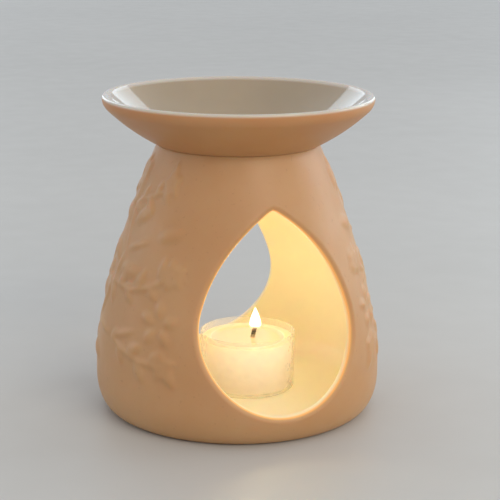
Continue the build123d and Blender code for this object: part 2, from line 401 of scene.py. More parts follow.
def bowed(start, end, bow, steps):
    """Points from start to end on a curve that bows to the left of that way."""
    start, end = np.array(start, float), np.array(end, float)
    t = np.linspace(0.0, 1.0, steps + 1)[:, None]
    way = end - start
    left = np.array([-way[1], way[0]]) / np.linalg.norm(way)
    return start + way * t + left * bow * 4 * t * (1 - t)


def rounded(legs, reaches, steps=8):
    """Joins legs end to end, each joint rounded over the given reach."""
    line = [np.array(leg, float) for leg in legs]
    joined = []
    head = line[0]
    for following, reach in zip(line[1:], reaches):
        corner = head[-1]
        if reach:
            before, after = Profile(head), Profile(following)
            a = np.column_stack(before.at(np.array([before.total - reach])))[0]
            b = np.column_stack(after.at(np.array([reach])))[0]
            head = np.vstack([head[before.lengths < before.total - reach], a])
            following = np.vstack([b, following[after.lengths > reach]])
            t = np.linspace(0.0, 1.0, steps + 1)[1:-1, None]
            turn = (1 - t) ** 2 * a + 2 * (1 - t) * t * corner + t**2 * b
            joined += [*head, *turn]
        else:
            joined += [*head[:-1]]
        head = following
    return np.array([*joined, *head])


# Burner body

SIDE_LOWER_SHARE, SIDE_UPPER_SHARE, SIDE_BULGE_SHARE = 0.076, 0.335, 0.036
BASE_STEPS, SIDE_STEPS = 40, 240
SHOULDER = math.radians(17.0)
ROUND_STEPS, FLANK_STEPS, TIP_STEPS = 200, 120, 24
OPENING_ZONE = math.radians(44.0)
OPENING_COLUMNS, SIDE_COLUMNS, WALL_ROWS = 64, 120, 150
OUTER_RINGS, CHAMBER_RINGS = 12, 8
LIP_STEPS, BORE_LIP_STEPS = 7, 3
# How far inside the rings of a lip count, from the outer wall to the chamber. The share sets how much painted
# lip glow and painted paler chamber tone each ring takes.
LIP_SHARES = (0.0, 0.0, 0.06, 0.25, 0.5, 0.85, 1.0)
# Rounded edges at the top of the neck, and how far in from its sharp corner the middle of one lies.
NECK_EDGE, BORE_EDGE, EDGE_ROUND_SHARE = 0.0002, 0.0008, 0.25
# The bore's rounded edge counts half inside, so it takes the lips' painted tone and glow.
BORE_INSIDE_SHARE = 0.5
FLOOR_RADII = (0.036, 0.024, 0.012, 0.004)
RECESS_SLOPE, RECESS_EDGE, RECESS_EDGE_RISE = 0.0018, 0.0003, 0.0001
RECESS_RADII = (0.024, 0.008)
# The sprig drawing is unrolled at this radius, and points that take no relief lie below it.
SPRIG_RADIUS = 0.052
OFF_DRAWING, DRAWING_BOTTOM = (0.0, -1.0, 0.0), -0.5


def side_points(sizes):
    rise = sizes.neck_height - sizes.base_height
    step = sizes.belly_radius - sizes.neck_radius
    return [
        (sizes.belly_radius, sizes.base_height),
        (sizes.belly_radius, sizes.base_height + SIDE_LOWER_SHARE * rise),
        (sizes.belly_radius + SIDE_BULGE_SHARE * step, sizes.base_height + SIDE_UPPER_SHARE * rise),
        (sizes.neck_radius, sizes.neck_height),
    ]


def set_in(points, depth):
    """Control points of the same curve, set in by the wall."""
    points = [np.array(p, float) for p in points]
    ways = [(b - a) / np.linalg.norm(b - a) for a, b in zip(points, points[1:])]
    starts = [p + np.array([-w[1], w[0]]) * depth for p, w in zip(points, ways)]
    corners = []
    for i in range(len(ways) - 1):
        gap = starts[i + 1] - starts[i]
        turn = ways[i][0] * ways[i + 1][1] - ways[i][1] * ways[i + 1][0]
        corners.append(starts[i] + ways[i] * (gap[0] * ways[i + 1][1] - gap[1] * ways[i + 1][0]) / turn)
    last = points[-1] + np.array([-ways[-1][1], ways[-1][0]]) * depth
    return [starts[0], *corners, last]


def outer_profile(sizes):
    foot = sizes.belly_radius - sizes.base_width
    base = corner_ellipse((foot, sizes.base_height), sizes.base_width, sizes.base_height, BASE_STEPS)
    line = np.vstack([base, bezier(side_points(sizes), SIDE_STEPS)[1:]])
    whole = Profile(line)
    end = whole.total - NECK_EDGE
    return Profile(np.vstack([line[whole.lengths < end], np.column_stack(whole.at(np.array([end])))]))


def chamber_profile(sizes):
    points = set_in(side_points(sizes), sizes.wall)
    centre = (points[0][0] - sizes.floor_corner, sizes.base_height)
    corner = corner_ellipse(centre, sizes.floor_corner, sizes.base_height - sizes.floor_height, BASE_STEPS)
    return Profile(np.vstack([corner, bezier(points, SIDE_STEPS)[1:]]))


def teardrop(sizes):
    """An opening's outline from the front: polar angles about its centre, points and outward normals."""
    radius = sizes.opening_radius
    rise = sizes.opening_apex - sizes.opening_bottom - radius
    way = np.array([math.cos(SHOULDER), math.sin(SHOULDER)])
    reach = rise * way[1]
    side_radius = (rise**2 + radius**2 - 2 * reach * radius) / (2 * (radius - reach))
    side_centre = way * (radius - side_radius)
    tip_radius = sizes.apex_radius
    tip_height = math.sqrt((side_radius - tip_radius) ** 2 - side_centre[0] ** 2) + side_centre[1]
    tip_turn = math.atan2(tip_height - side_centre[1], -side_centre[0])
    pieces = []
    for centre, size, start, end, steps in (
        ((0.0, 0.0), radius, -math.pi / 2, SHOULDER, ROUND_STEPS),
        (side_centre, side_radius, SHOULDER, tip_turn, FLANK_STEPS),
        ((0.0, tip_height), tip_radius, tip_turn, math.pi / 2, TIP_STEPS),
    ):
        t = np.linspace(start, end, steps + 1)
        facing = np.column_stack([np.cos(t), np.sin(t)])
        pieces.append((np.array(centre) + size * facing, facing))
    points = np.vstack([p for p, _ in pieces])
    facing = np.vstack([f for _, f in pieces])
    angles = np.arctan2(points[:, 1], points[:, 0])
    angles, keep = np.unique(np.round(angles, 9), return_index=True)
    return angles, points[keep], facing[keep]


def within_half_turn(angle):
    """The same direction, as an angle between minus and plus half a turn."""
    return (angle + math.pi) % (2 * math.pi) - math.pi


def on_outline(outline, angle):
    """The outline's point and normal at a polar angle, on either side."""
    angles, points, facing = outline
    left = np.cos(angle) < 0
    folded = within_half_turn(np.where(left, math.pi - angle, angle))
    flip = np.where(left, -1.0, 1.0)
    place = np.column_stack([np.interp(folded, angles, points[:, i]) for i in (0, 1)])
    normal = np.column_stack([np.interp(folded, angles, facing[:, i]) for i in (0, 1)])
    normal /= np.linalg.norm(normal, axis=1)[:, None]
    place[:, 0] *= flip
    normal[:, 0] *= flip
    return place, normal


def round_axis(turn, radius, height):
    """Points at an angle round the axis, measured from the front towards the right."""
    return np.column_stack([radius * np.sin(turn), -radius * np.cos(turn), height])


def lip(edge, wall_normal, hole_normal, radius, steps):
    """Rings of a rounded edge, from the wall to the cut."""
    lean = np.sum(wall_normal * hole_normal, axis=1)[:, None]
    centre = edge - radius / (1 + lean) * (wall_normal + hole_normal)
    angle = np.arccos(np.clip(lean, -1.0, 1.0))
    rings = []
    for t in np.linspace(0.0, 1.0, steps + 1):
        facing = (np.sin((1 - t) * angle) * wall_normal + np.sin(t * angle) * hole_normal) / np.sin(angle)
        rings.append(centre + radius * facing)
    return rings


class Skin:
    """Vertices and faces of a shell, gathered ring by ring, with how far each vertex lies inside."""

    def __init__(self):
        self.points, self.places, self.inside, self.faces = [], [], [], []

    def add(self, points, places=None, inside=0.0):
        start = len(self.points)
        self.points.extend(points)
        self.places.extend([OFF_DRAWING] * len(points) if places is None else places)
        self.inside.extend([inside] * len(points))
        return np.arange(start, len(self.points))

    def band(self, first, second, closed=True):
        """Quads between two rows, or quads and triangles where the second has half as many points."""
        count = len(first) if closed else len(first) - 1

        def pick(row, i):
            return int(row[i % len(row)])

        if len(second) == len(first):
            for i in range(count):
                self.faces.append((pick(first, i), pick(first, i + 1), pick(second, i + 1), pick(second, i)))
        else:
            for i in range(0, count, 2):
                near, far = pick(second, i // 2), pick(second, i // 2 + 1)
                self.faces.append((pick(first, i), pick(first, i + 1), near))
                self.faces.append((pick(first, i + 1), pick(first, i + 2), far, near))

    def rings(self, last, turns, sections, inside=0.0):
        """Rings round the axis at each radius and height, joined on to the last one."""
        for radius, height in sections:
            now = self.add(round_axis(turns, radius, np.full(len(turns), height)), inside=inside)
            self.band(last, now)
            last = now
        return last

    def fan(self, ring, point, inside=0.0):
        tip = int(self.add([point], inside=inside)[0])
        for i in range(len(ring)):
            self.faces.append((int(ring[i]), int(ring[(i + 1) % len(ring)]), tip))


def wall_columns(stride):
    """Angles of the columns round the body, from the front opening's left border."""
    spans = [
        (-OPENING_ZONE, OPENING_ZONE, OPENING_COLUMNS),
        (OPENING_ZONE, math.pi - OPENING_ZONE, SIDE_COLUMNS),
    ]
    half = np.concatenate([np.linspace(a, b, n // stride + 1)[:-1] for a, b, n in spans])
    return np.concatenate([half, half + math.pi])


def sprig_place(turn, along):
    """Where a point of the wall lies on the flat sprig drawing of its side."""
    turn = np.mod(turn, 2 * math.pi)
    right = turn < math.pi
    across = np.where(right, turn - math.pi / 2, 3 * math.pi / 2 - turn) * SPRIG_RADIUS
    return np.column_stack([across, along, np.zeros_like(along)])


def add_wall_row(skin, profile, turns, alongs, draw):
    """A row of points on the wall: the outer face takes the sprig drawing, the other is the chamber's."""
    places = sprig_place(turns, alongs).tolist() if draw else None
    return skin.add(round_axis(turns, *profile.at(alongs)), places, 0.0 if draw else 1.0)


def wall_face(skin, profile, stride, draw):
    """One face of the wall between the openings.

    Returns its columns, its first and last ring, and the borders of the openings' zones.
    """
    turns = wall_columns(stride)
    rows = WALL_ROWS // stride
    across, beside = OPENING_COLUMNS // stride, SIDE_COLUMNS // stride
    count = len(turns)
    alongs = np.linspace(0.0, profile.total, rows + 1)
    grid = np.full((rows + 1, count), -1)
    sides = [np.arange(across, across + beside + 1), np.arange(2 * across + beside, count + 1) % count]
    for row, along in enumerate(alongs):
        columns = np.arange(count) if row in (0, rows) else np.concatenate(sides)
        grid[row, columns] = add_wall_row(skin, profile, turns[columns], np.full(len(columns), along), draw)
    for columns in sides:
        for row in range(rows):
            skin.band(grid[row, columns], grid[row + 1, columns], closed=False)
    borders = []
    for first in (0, across + beside):
        columns = np.arange(first, first + across + 1) % count
        border = [(0, c) for c in columns] + [(r, columns[-1]) for r in range(1, rows)]
        border += [(rows, c) for c in columns[::-1]] + [(r, columns[0]) for r in range(rows - 1, 0, -1)]
        borders.append([(grid[r, c], turns[c], alongs[r]) for r, c in border])
    return turns, grid[0], grid[rows], borders


def fill_round_opening(skin, profile, ring, turn, along, border, rings, draw):
    """Rings from an opening's lip out to the border of its zone, on the wall."""
    to_border = within_half_turn(np.array([b[1] for b in border]) - turn)
    border_along = np.array([b[2] for b in border])
    last = ring
    for step in range(1, rings):
        share = step / rings
        turns = turn + to_border * share
        now = add_wall_row(skin, profile, turns, along + (border_along - along) * share, draw)
        skin.band(last, now)
        last = now
    skin.band(last, np.array([b[0] for b in border]))


def opening_edge(profile, x, z, side):
    """Where an opening cuts a face of the wall, and the face's normals there, outwards on side 1."""
    along = profile.along_at_height(z)
    radius, _ = profile.at(along)
    turn = np.arcsin(x / radius)
    out, up = profile.normal(along)
    return round_axis(turn, radius, z), side * np.column_stack([out * np.sin(turn), -out * np.cos(turn), up])


def body_skin(sizes):
    """The burner's shell, cut by its two openings, as one closed skin."""
    skin = Skin()
    outer, inner = outer_profile(sizes), chamber_profile(sizes)
    outline = teardrop(sizes)
    centre = sizes.opening_bottom + sizes.opening_radius
    turns, foot, neck, outer_borders = wall_face(skin, outer, 1, True)
    inner_turns, floor, bore, inner_borders = wall_face(skin, inner, 2, False)

    for half, (border, inner_border) in enumerate(zip(outer_borders, inner_borders)):
        facing = half * math.pi
        spin = np.array(Matrix.Rotation(facing, 3, "Z"))
        border_turn = within_half_turn(np.array([b[1] for b in border]) - facing)
        border_rise = np.array([b[2] for b in border]) - outer.along_at_height(centre)
        angle = np.arctan2(border_rise, border_turn * sizes.belly_radius)
        place, normal = on_outline(outline, angle)
        x, z = place[:, 0], place[:, 1] + centre
        hole = np.column_stack([-normal[:, 0], np.zeros_like(x), -normal[:, 1]])
        edge, wall = opening_edge(outer, x, z, 1.0)
        outside = lip(edge, wall, hole, sizes.lip_radius, LIP_STEPS)
        edge, wall = (row[::2] for row in opening_edge(inner, x, z, -1.0))
        inside = lip(edge, wall, hole[::2], sizes.bore_lip_radius, BORE_LIP_STEPS)[::-1]
        rows = []
        for place_of, profile in ((outside[0], outer), (inside[-1], inner)):
            along = profile.along_at_height(place_of[:, 2])
            turn = np.arctan2(place_of[:, 0], -place_of[:, 1])
            rows.append((turn + facing, along))
            place_of[:] = round_axis(turn, *profile.at(along))
        flat = sprig_place(*rows[0]).tolist()
        first = last = skin.add(outside[0] @ spin.T, flat)
        for number, ring in enumerate([*outside[1:], *inside]):
            now = skin.add(ring @ spin.T, inside=LIP_SHARES[min(number, len(LIP_SHARES) - 1)])
            skin.band(last, now)
            last = now
        fill_round_opening(skin, outer, first, *rows[0], border, OUTER_RINGS, True)
        fill_round_opening(skin, inner, last, *rows[1], inner_border, CHAMBER_RINGS, False)

    top = sizes.neck_height
    neck_round, bore_round = NECK_EDGE * EDGE_ROUND_SHARE, BORE_EDGE * EDGE_ROUND_SHARE
    neck_edge = (
        (sizes.neck_radius - neck_round, top - neck_round),
        (sizes.neck_radius - NECK_EDGE, top),
    )
    bore_radius = inner.at(inner.total)[0]
    bore_edge = (
        (bore_radius + BORE_EDGE, top),
        (bore_radius + bore_round, top - bore_round),
        (bore_radius, top - BORE_EDGE),
    )
    last = skin.rings(neck, turns, neck_edge)
    skin.band(skin.rings(last, inner_turns, bore_edge, BORE_INSIDE_SHARE), bore)

    level = sizes.floor_height
    last = skin.rings(floor, inner_turns, [(radius, level) for radius in FLOOR_RADII], 1.0)
    skin.fan(last, (0.0, 0.0, level), 1.0)

    ring = sizes.belly_radius - sizes.base_width - sizes.foot_ring
    recess = sizes.foot_recess
    underside = (
        (ring, 0.0),
        (ring - RECESS_EDGE, RECESS_EDGE_RISE),
        (ring - RECESS_SLOPE + RECESS_EDGE, recess - RECESS_EDGE_RISE),
        (ring - RECESS_SLOPE, recess),
        *((radius, recess) for radius in RECESS_RADII),
    )
    skin.fan(skin.rings(foot, inner_turns, underside), (0.0, 0.0, recess))
    return skin


# Sprigs

BLADE_COLUMNS, BLADE_ROWS, GROOVE_WIDTH_SHARE = 15, 17, 0.3
LEAF_GROOVE_SHARE, PETAL_GROOVE_SHARE = 0.4, 0.22
TWIG_STEPS, TWIG_SIDES, TWIG_END_SHARE = 40, 12, 0.6
LEAF_LEAN, LEAF_LEAN_SHARES, LEAF_SCALE_SHARES = 0.95, (0.75, 1.1), (0.72, 1.08)
LEAF_SCALE_DRAW, BLOSSOM_SCALE_DRAW = 5, 9
PETALS, PETAL_RING, BLOSSOM_SCALE_SHARES = 5, 0.0009, (0.75, 1.0)
EYE_RADIUS, EYE_RISE_SHARE, EYE_SEGMENTS, EYE_RINGS = 0.0018, 0.62, 16, 10
# From how far above the drawing and the wall the relief is measured.
DRAWN_REACH, MOULDED_REACH = 0.02, 0.004
# The least sideways part of a normal that the room to the widest point is divided by.
LEAST_OUTWARD_SHARE = 0.1

# Twigs between the CAD's stems and leaves, as start, two handles and end. Each is a turn in degrees from
# the side of the body towards the back, and a share of the way up its side.
TWIGS = (
    ((4, 0.80), (8, 0.83), (8, 0.86), (6, 0.895)),
    ((3, 0.42), (12, 0.44), (24, 0.47), (38, 0.57)),
    ((-8, 0.22), (-16, 0.19), (-26, 0.15), (-40, 0.16)),
    ((22, 0.12), (32, 0.09), (42, 0.12), (48, 0.24)),
    ((2, 0.44), (-8, 0.42), (-24, 0.41), (-40, 0.52)),
    ((2, 0.76), (-6, 0.80), (-18, 0.80), (-28, 0.87)),
    ((3, 0.78), (10, 0.82), (22, 0.81), (30, 0.88)),
)


def leaf_blade():
    """A domed leaf or petal on the flat, with a groove along its middle."""
    names = ("Length", "Width", "Height", "Groove")
    graph, given, output = geometry_tree("Leaf Blade", *((name, "NodeSocketFloat") for name in names))
    grid = graph.node(
        "GeometryNodeMeshGrid",
        {"Size X": 1.0, "Size Y": 1.0, "Vertices X": BLADE_COLUMNS, "Vertices Y": BLADE_ROWS},
    )
    x, y, _ = graph.separate(graph.node("GeometryNodeInputPosition").outputs[0])
    across = graph.product(x, 2.0)
    along = graph.math("ADD", y, 0.5)
    from_middle = graph.math("ABSOLUTE", across)
    breadth = graph.curve(along, (0, 0.05), (0.12, 0.5), (0.38, 0.98), (0.7, 0.66), (1, 0.0))
    crown = graph.curve(from_middle, (0, 0.96), (0.25, 1), (0.7, 0.78), (0.9, 0.4), (1, 0))
    rise = graph.curve(along, (0, 0.35), (0.3, 0.9), (0.6, 1), (0.9, 0.7), (1, 0.3))
    dip = graph.remap(from_middle, 0.0, GROOVE_WIDTH_SHARE, 1.0, 0.0, smooth=True)
    groove = graph.product(dip, given["Groove"])
    place = graph.combine(
        graph.product(across, breadth, given["Width"], 0.5),
        graph.product(along, given["Length"]),
        graph.product(crown, rise, graph.math("SUBTRACT", 1.0, groove), given["Height"]),
    )
    shaped = graph.node("GeometryNodeSetPosition", {"Geometry": grid.outputs["Mesh"], "Position": place})
    graph.feed(output["Geometry"], shaped.outputs[0])
    return graph.tree


def on_drawing(place, sizes):
    """A place on the body's side, as a point of the flat sprig drawing."""
    outer = outer_profile(sizes)
    foot = outer.along_at_height(sizes.base_height)
    turn, rise = place
    return math.radians(turn) * SPRIG_RADIUS, foot + rise * (outer.total - foot), 0.0


def twig_stems(graph, given, twigs):
    """Round stems along the twigs, thinner towards their ends."""
    factor = graph.node("GeometryNodeSplineParameter").outputs["Factor"]
    taper = graph.remap(factor, 0.0, 1.0, 1.0, TWIG_END_SHARE)
    tapered = graph.node("GeometryNodeSetCurveRadius", {"Curve": twigs, "Radius": taper}).outputs[0]
    section = graph.node(
        "GeometryNodeCurvePrimitiveCircle", {"Resolution": TWIG_SIDES, "Radius": given["Twig Radius"]}
    ).outputs["Curve"]
    return graph.node("GeometryNodeCurveToMesh", {"Curve": tapered, "Profile Curve": section}).outputs[0]


def twig_leaves(graph, given, twigs, blade):
    """Leaves along the twigs, to the left and to the right by turns."""
    points = graph.node(
        "GeometryNodeCurveToPoints", {"Curve": twigs, "Length": given["Leaf Spacing"]}, mode="LENGTH"
    )
    tx, ty, _ = graph.separate(points.outputs["Tangent"])
    number = graph.node("GeometryNodeInputIndex").outputs[0]
    side = graph.math("SUBTRACT", graph.product(graph.math("MODULO", number, 2.0), 2.0), 1.0)
    lean = graph.product(side, graph.chance(*LEAF_LEAN_SHARES, given["Seed"]), LEAF_LEAN)
    heading = graph.math("SUBTRACT", graph.math("ADD", graph.math("ARCTAN2", ty, tx), lean), math.pi / 2)
    leaf = graph.node(
        "GeometryNodeGroup",
        node_tree=blade,
        inputs={
            "Length": given["Leaf Length"],
            "Width": given["Leaf Width"],
            "Height": given["Relief Height"],
            "Groove": LEAF_GROOVE_SHARE,
        },
    )
    seed = graph.math("ADD", given["Seed"], LEAF_SCALE_DRAW)
    leaves = graph.node(
        "GeometryNodeInstanceOnPoints",
        {
            "Points": points.outputs["Points"],
            "Instance": leaf.outputs[0],
            "Rotation": graph.turn_flat(heading),
            "Scale": graph.chance(*LEAF_SCALE_SHARES, seed),
        },
    )
    return leaves.outputs[0]


def twig_blossoms(graph, given, twigs, blade):
    """A blossom of petals round an eye at the end of each twig."""
    petal = graph.node(
        "GeometryNodeGroup",
        node_tree=blade,
        inputs={
            "Length": given["Petal Length"],
            "Width": given["Petal Width"],
            "Height": given["Relief Height"],
            "Groove": PETAL_GROOVE_SHARE,
        },
    )
    ring = graph.node("GeometryNodeCurvePrimitiveCircle", {"Resolution": PETALS, "Radius": PETAL_RING})
    spokes = graph.node(
        "GeometryNodeCurveToPoints", {"Curve": ring.outputs["Curve"], "Count": PETALS}, mode="COUNT"
    )
    step = graph.product(graph.node("GeometryNodeInputIndex").outputs[0], 2 * math.pi / PETALS)
    petals = graph.node(
        "GeometryNodeInstanceOnPoints",
        {"Points": spokes.outputs["Points"], "Instance": petal.outputs[0], "Rotation": graph.turn_flat(step)},
    )
    ball = graph.node(
        "GeometryNodeMeshUVSphere", {"Segments": EYE_SEGMENTS, "Rings": EYE_RINGS, "Radius": EYE_RADIUS}
    )
    eye = graph.node(
        "GeometryNodeTransform",
        {"Geometry": ball.outputs["Mesh"], "Scale": graph.combine(1.0, 1.0, EYE_RISE_SHARE)},
    )
    blossom = graph.join(petals.outputs[0], eye.outputs[0])
    tips = graph.node("GeometryNodeCurveEndpointSelection", {"Start Size": 0, "End Size": 1})
    seed = graph.math("ADD", given["Seed"], BLOSSOM_SCALE_DRAW)
    blossoms = graph.node(
        "GeometryNodeInstanceOnPoints",
        {
            "Points": twigs,
            "Selection": tips.outputs[0],
            "Instance": graph.node("GeometryNodeGeometryToInstance", {0: blossom}).outputs[0],
            "Scale": graph.chance(*BLOSSOM_SCALE_SHARES, seed),
        },
    )
    return blossoms.outputs[0]


def sprig_relief(sizes):
    """Raises flowering sprigs out of the wall: the CAD's, with small twigs between drawn on the flat."""
    graph, given, output = geometry_tree(
        "Sprig Relief",
        ("Right Sprig", "NodeSocketObject"),
        ("Left Sprig", "NodeSocketObject"),
        ("Relief Height", "NodeSocketFloat"),
        ("Leaf Length", "NodeSocketFloat"),
        ("Leaf Width", "NodeSocketFloat"),
        ("Leaf Spacing", "NodeSocketFloat"),
        ("Petal Length", "NodeSocketFloat"),
        ("Petal Width", "NodeSocketFloat"),
        ("Twig Radius", "NodeSocketFloat"),
        ("Widest", "NodeSocketFloat"),
        ("Softness", "NodeSocketInt"),
        ("Seed", "NodeSocketInt"),
        ("Material", "NodeSocketMaterial"),
    )
    segments = []
    for twig in TWIGS:
        points = zip(("Start", "Start Handle", "End Handle", "End"), (on_drawing(p, sizes) for p in twig))
        line = {"Resolution": TWIG_STEPS, **dict(points)}
        segments.append(graph.node("GeometryNodeCurvePrimitiveBezierSegment", line).outputs[0])
    twigs = graph.join(*segments)
    blade = leaf_blade()
    drawing = graph.join(
        twig_stems(graph, given, twigs),
        twig_leaves(graph, given, twigs, blade),
        twig_blossoms(graph, given, twigs, blade),
    )
    flat = graph.node("GeometryNodeRealizeInstances", {0: drawing}).outputs[0]

    place = graph.node("GeometryNodeInputNamedAttribute", {"Name": "sprig_place"}, data_type="FLOAT_VECTOR")
    place = place.outputs["Attribute"]
    drawn = graph.height_over(flat, place, graph.combine(0.0, 0.0, 1.0), DRAWN_REACH)
    position = graph.node("GeometryNodeInputPosition").outputs[0]
    normal = graph.node("GeometryNodeInputNormal").outputs[0]
    sprigs = [
        graph.node("GeometryNodeObjectInfo", {"Object": given[name]}).outputs["Geometry"]
        for name in ("Right Sprig", "Left Sprig")
    ]
    moulded = graph.height_over(graph.join(*sprigs), position, normal, MOULDED_REACH)
    soft = graph.node(
        "GeometryNodeBlurAttribute",
        {0: graph.math("MAXIMUM", drawn, moulded), "Iterations": given["Softness"]},
        data_type="FLOAT",
    )
    on_wall = graph.math("GREATER_THAN", graph.separate(place)[1], DRAWING_BOTTOM)
    outwards = graph.math("MAXIMUM", graph.math("ABSOLUTE", graph.separate(normal)[0]), LEAST_OUTWARD_SHARE)
    reach = graph.math("ABSOLUTE", graph.separate(position)[0])
    room = graph.math("DIVIDE", graph.math("SUBTRACT", given["Widest"], reach), outwards)
    room = graph.math("MAXIMUM", room, 0.0)
    raised = graph.math("MINIMUM", graph.product(soft.outputs["Value"], on_wall), room)
    offset = graph.vector_math("MULTIPLY", normal, graph.combine(raised, raised, raised))
    moved = graph.node("GeometryNodeSetPosition", {"Geometry": given["Geometry"], "Offset": offset})
    finish_tree(graph, moved.outputs[0], given["Material"], output)
    return graph


# Turned pieces

DISH_COLUMNS, CUP_COLUMNS, WAX_COLUMNS, TIN_COLUMNS, FLAME_COLUMNS = 192, 128, 112, 64, 48
# Edges bent by more than the crease, in radians, stay crisp, and points nearer than the seam are joined.
CREASE, SEAM = 0.7, 2e-6
DISH_STEPS, CUP_STEPS, SPIGOT_STEPS, POOL_STEPS, EDGE_STEPS, FLAME_STEPS = 40, 10, 6, 8, 4, 40
SPIGOT_EDGE, RIM_UNDER_EDGE, RIM_OUTER_EDGE, RIM_INNER_EDGE = 0.0012, 0.0024, 0.0011, 0.0014
CUP_FLOOR, CUP_RECESS, CUP_RING = 0.0012, 0.0004, 0.003
CUP_RING_EDGE, CUP_FOOT_EDGE, CUP_RIM_EDGE, CUP_CORNER = 0.0002, 0.0015, 0.0003, 0.0009
WAX_GAP, POOL_SLOPE = 0.0001, 0.002
WAX_CORNER, WAX_EDGE, POOL_EDGE, POOL_CORNER = 0.0009, 0.0004, 0.0006, 0.0009
TIN_SHEET, TUBE_RADIUS, TUBE_BORE = 0.0004, 0.0017, 0.00115
TIN_EDGE, TUBE_FOOT, TUBE_FLOOR = 0.00015, 0.0003, 0.0001
STRANDS, BRAID_TURNS, BRAID_STEPS, STRAND_SIDES = 4, 6.0, 96, 10
# The strands lie this share of their radius off the wick's middle, and draw together over its last stretch.
STRAND_SHARE, STRAND_END_SHARE, STRAND_END_START = 1.25, 0.7, 0.93
WICK_RADIUS, WICK_TOP_GAP = 0.001, 0.0003
# The flame's foot, below the wick's tip and back from it.
FLAME_DROP, FLAME_BACK = 0.0046, 0.0016
TEALIGHT_AXIS = Vector(((CUP_LOW.x + CUP_HIGH.x) / 2, (CUP_LOW.y + CUP_HIGH.y) / 2, 0.0))


def turned_piece():
    """Turns a section line round an upright axis."""
    graph, given, output = geometry_tree(
        "Turned Piece",
        ("Columns", "NodeSocketInt"),
        ("Axis", "NodeSocketVector"),
        ("Crease", "NodeSocketFloat"),
        ("Material", "NodeSocketMaterial"),
    )
    count = graph.node("GeometryNodeAttributeDomainSize", {0: given["Geometry"]}).outputs["Point Count"]
    grid = graph.node(
        "GeometryNodeMeshGrid",
        {
            "Size X": 1.0,
            "Size Y": 1.0,
            "Vertices X": graph.math("ADD", given["Columns"], 1.0),
            "Vertices Y": count,
        },
    )
    u, v, _ = graph.separate(grid.outputs["UV Map"])
    row = graph.math("ROUND", graph.product(v, graph.math("SUBTRACT", count, 1.0)))
    position = graph.node("GeometryNodeInputPosition").outputs[0]
    point = graph.node(
        "GeometryNodeSampleIndex",
        {"Geometry": given["Geometry"], "Value": position, "Index": row},
        data_type="FLOAT_VECTOR",
        domain="POINT",
    )
    radius, _, height = graph.separate(point.outputs[0])
    turn = graph.product(u, 2 * math.pi)
    place = graph.combine(
        graph.product(radius, graph.math("COSINE", turn)),
        graph.product(radius, graph.math("SINE", turn)),
        height,
    )
    shaped = graph.node(
        "GeometryNodeSetPosition",
        {"Geometry": grid.outputs["Mesh"], "Position": graph.vector_math("ADD", place, given["Axis"])},
    )
    closed = graph.node("GeometryNodeMergeByDistance", {"Geometry": shaped.outputs[0], "Distance": SEAM})
    smooth = graph.node("GeometryNodeSetShadeSmooth", {"Geometry": closed.outputs[0]}, domain="FACE")
    bend = graph.node("GeometryNodeInputMeshEdgeAngle").outputs["Unsigned Angle"]
    crisp = graph.node(
        "FunctionNodeCompare", {0: bend, 1: given["Crease"]}, data_type="FLOAT", operation="GREATER_THAN"
    )
    creased = graph.node(
        "GeometryNodeSetShadeSmooth",
        {"Geometry": smooth.outputs[0], "Selection": crisp.outputs[0], "Shade Smooth": False},
        domain="EDGE",
    )
    finish_tree(graph, creased.outputs[0], given["Material"], output)
    return graph


def turn_piece(name, profile, axis, columns, material):
    points = [(r, 0.0, z) for r, z in profile]
    obj = new_piece(name, points, edges=[(i, i + 1) for i in range(len(points) - 1)])
    grow(obj, turned_piece(), {"Columns": columns, "Axis": axis, "Crease": CREASE, "Material": material})
    face_outwards(obj)
    return obj


def dish_profile(dish, body):
    seat = np.array([body.neck_radius, body.neck_height])
    rim = np.array([dish.rim_radius, dish.rim_top - dish.rim_edge])
    way = (rim - seat) / np.linalg.norm(rim - seat)
    inner = seat + np.array([-way[1], way[0]]) * dish.wall
    floor = dish.spigot_bottom + dish.floor_thickness

    def inner_wall(height):
        return np.array([inner[0] + (height - inner[1]) * way[0] / way[1], height])

    crest, rim_inner = (dish.rim_radius, dish.rim_top), inner_wall(dish.rim_top)
    corner = inner_wall(floor)
    spigot, spigot_top = (dish.spigot_radius, dish.spigot_bottom), (dish.spigot_radius, body.neck_height)
    legs = (
        bowed((0.0, dish.spigot_bottom), spigot, 0.0, SPIGOT_STEPS),
        (spigot, spigot_top),
        (spigot_top, seat),
        bowed(seat, rim, -dish.bulge, DISH_STEPS),
        (rim, crest),
        (crest, rim_inner),
        bowed(rim_inner, corner, dish.bulge, DISH_STEPS),
        bowed(corner, (0.0, floor), 0.0, POOL_STEPS),
    )
    edges = (SPIGOT_EDGE, 0.0, 0.0, RIM_UNDER_EDGE, RIM_OUTER_EDGE, RIM_INNER_EDGE, dish.corner_reach)
    return rounded(legs, edges)


def cup_profile(sizes):
    bottom, top = CUP_LOW.z, CUP_HIGH.z
    foot = sizes.cup_radius - sizes.cup_taper
    wall = sizes.cup_wall
    ring = foot - CUP_RING
    recess, floor = bottom + CUP_RECESS, bottom + CUP_FLOOR
    legs = (
        ((0.0, recess), (ring, recess)),
        ((ring, recess), (ring, bottom)),
        ((ring, bottom), (foot, bottom)),
        bowed((foot, bottom), (sizes.cup_radius, top), 0.0, CUP_STEPS),
        ((sizes.cup_radius, top), (sizes.cup_radius - wall, top)),
        bowed((sizes.cup_radius - wall, top), (foot - wall, floor), 0.0, CUP_STEPS),
        ((foot - wall, floor), (0.0, floor)),
    )
    return rounded(legs, (0.0, CUP_RING_EDGE, CUP_FOOT_EDGE, CUP_RIM_EDGE, CUP_RIM_EDGE, CUP_CORNER))


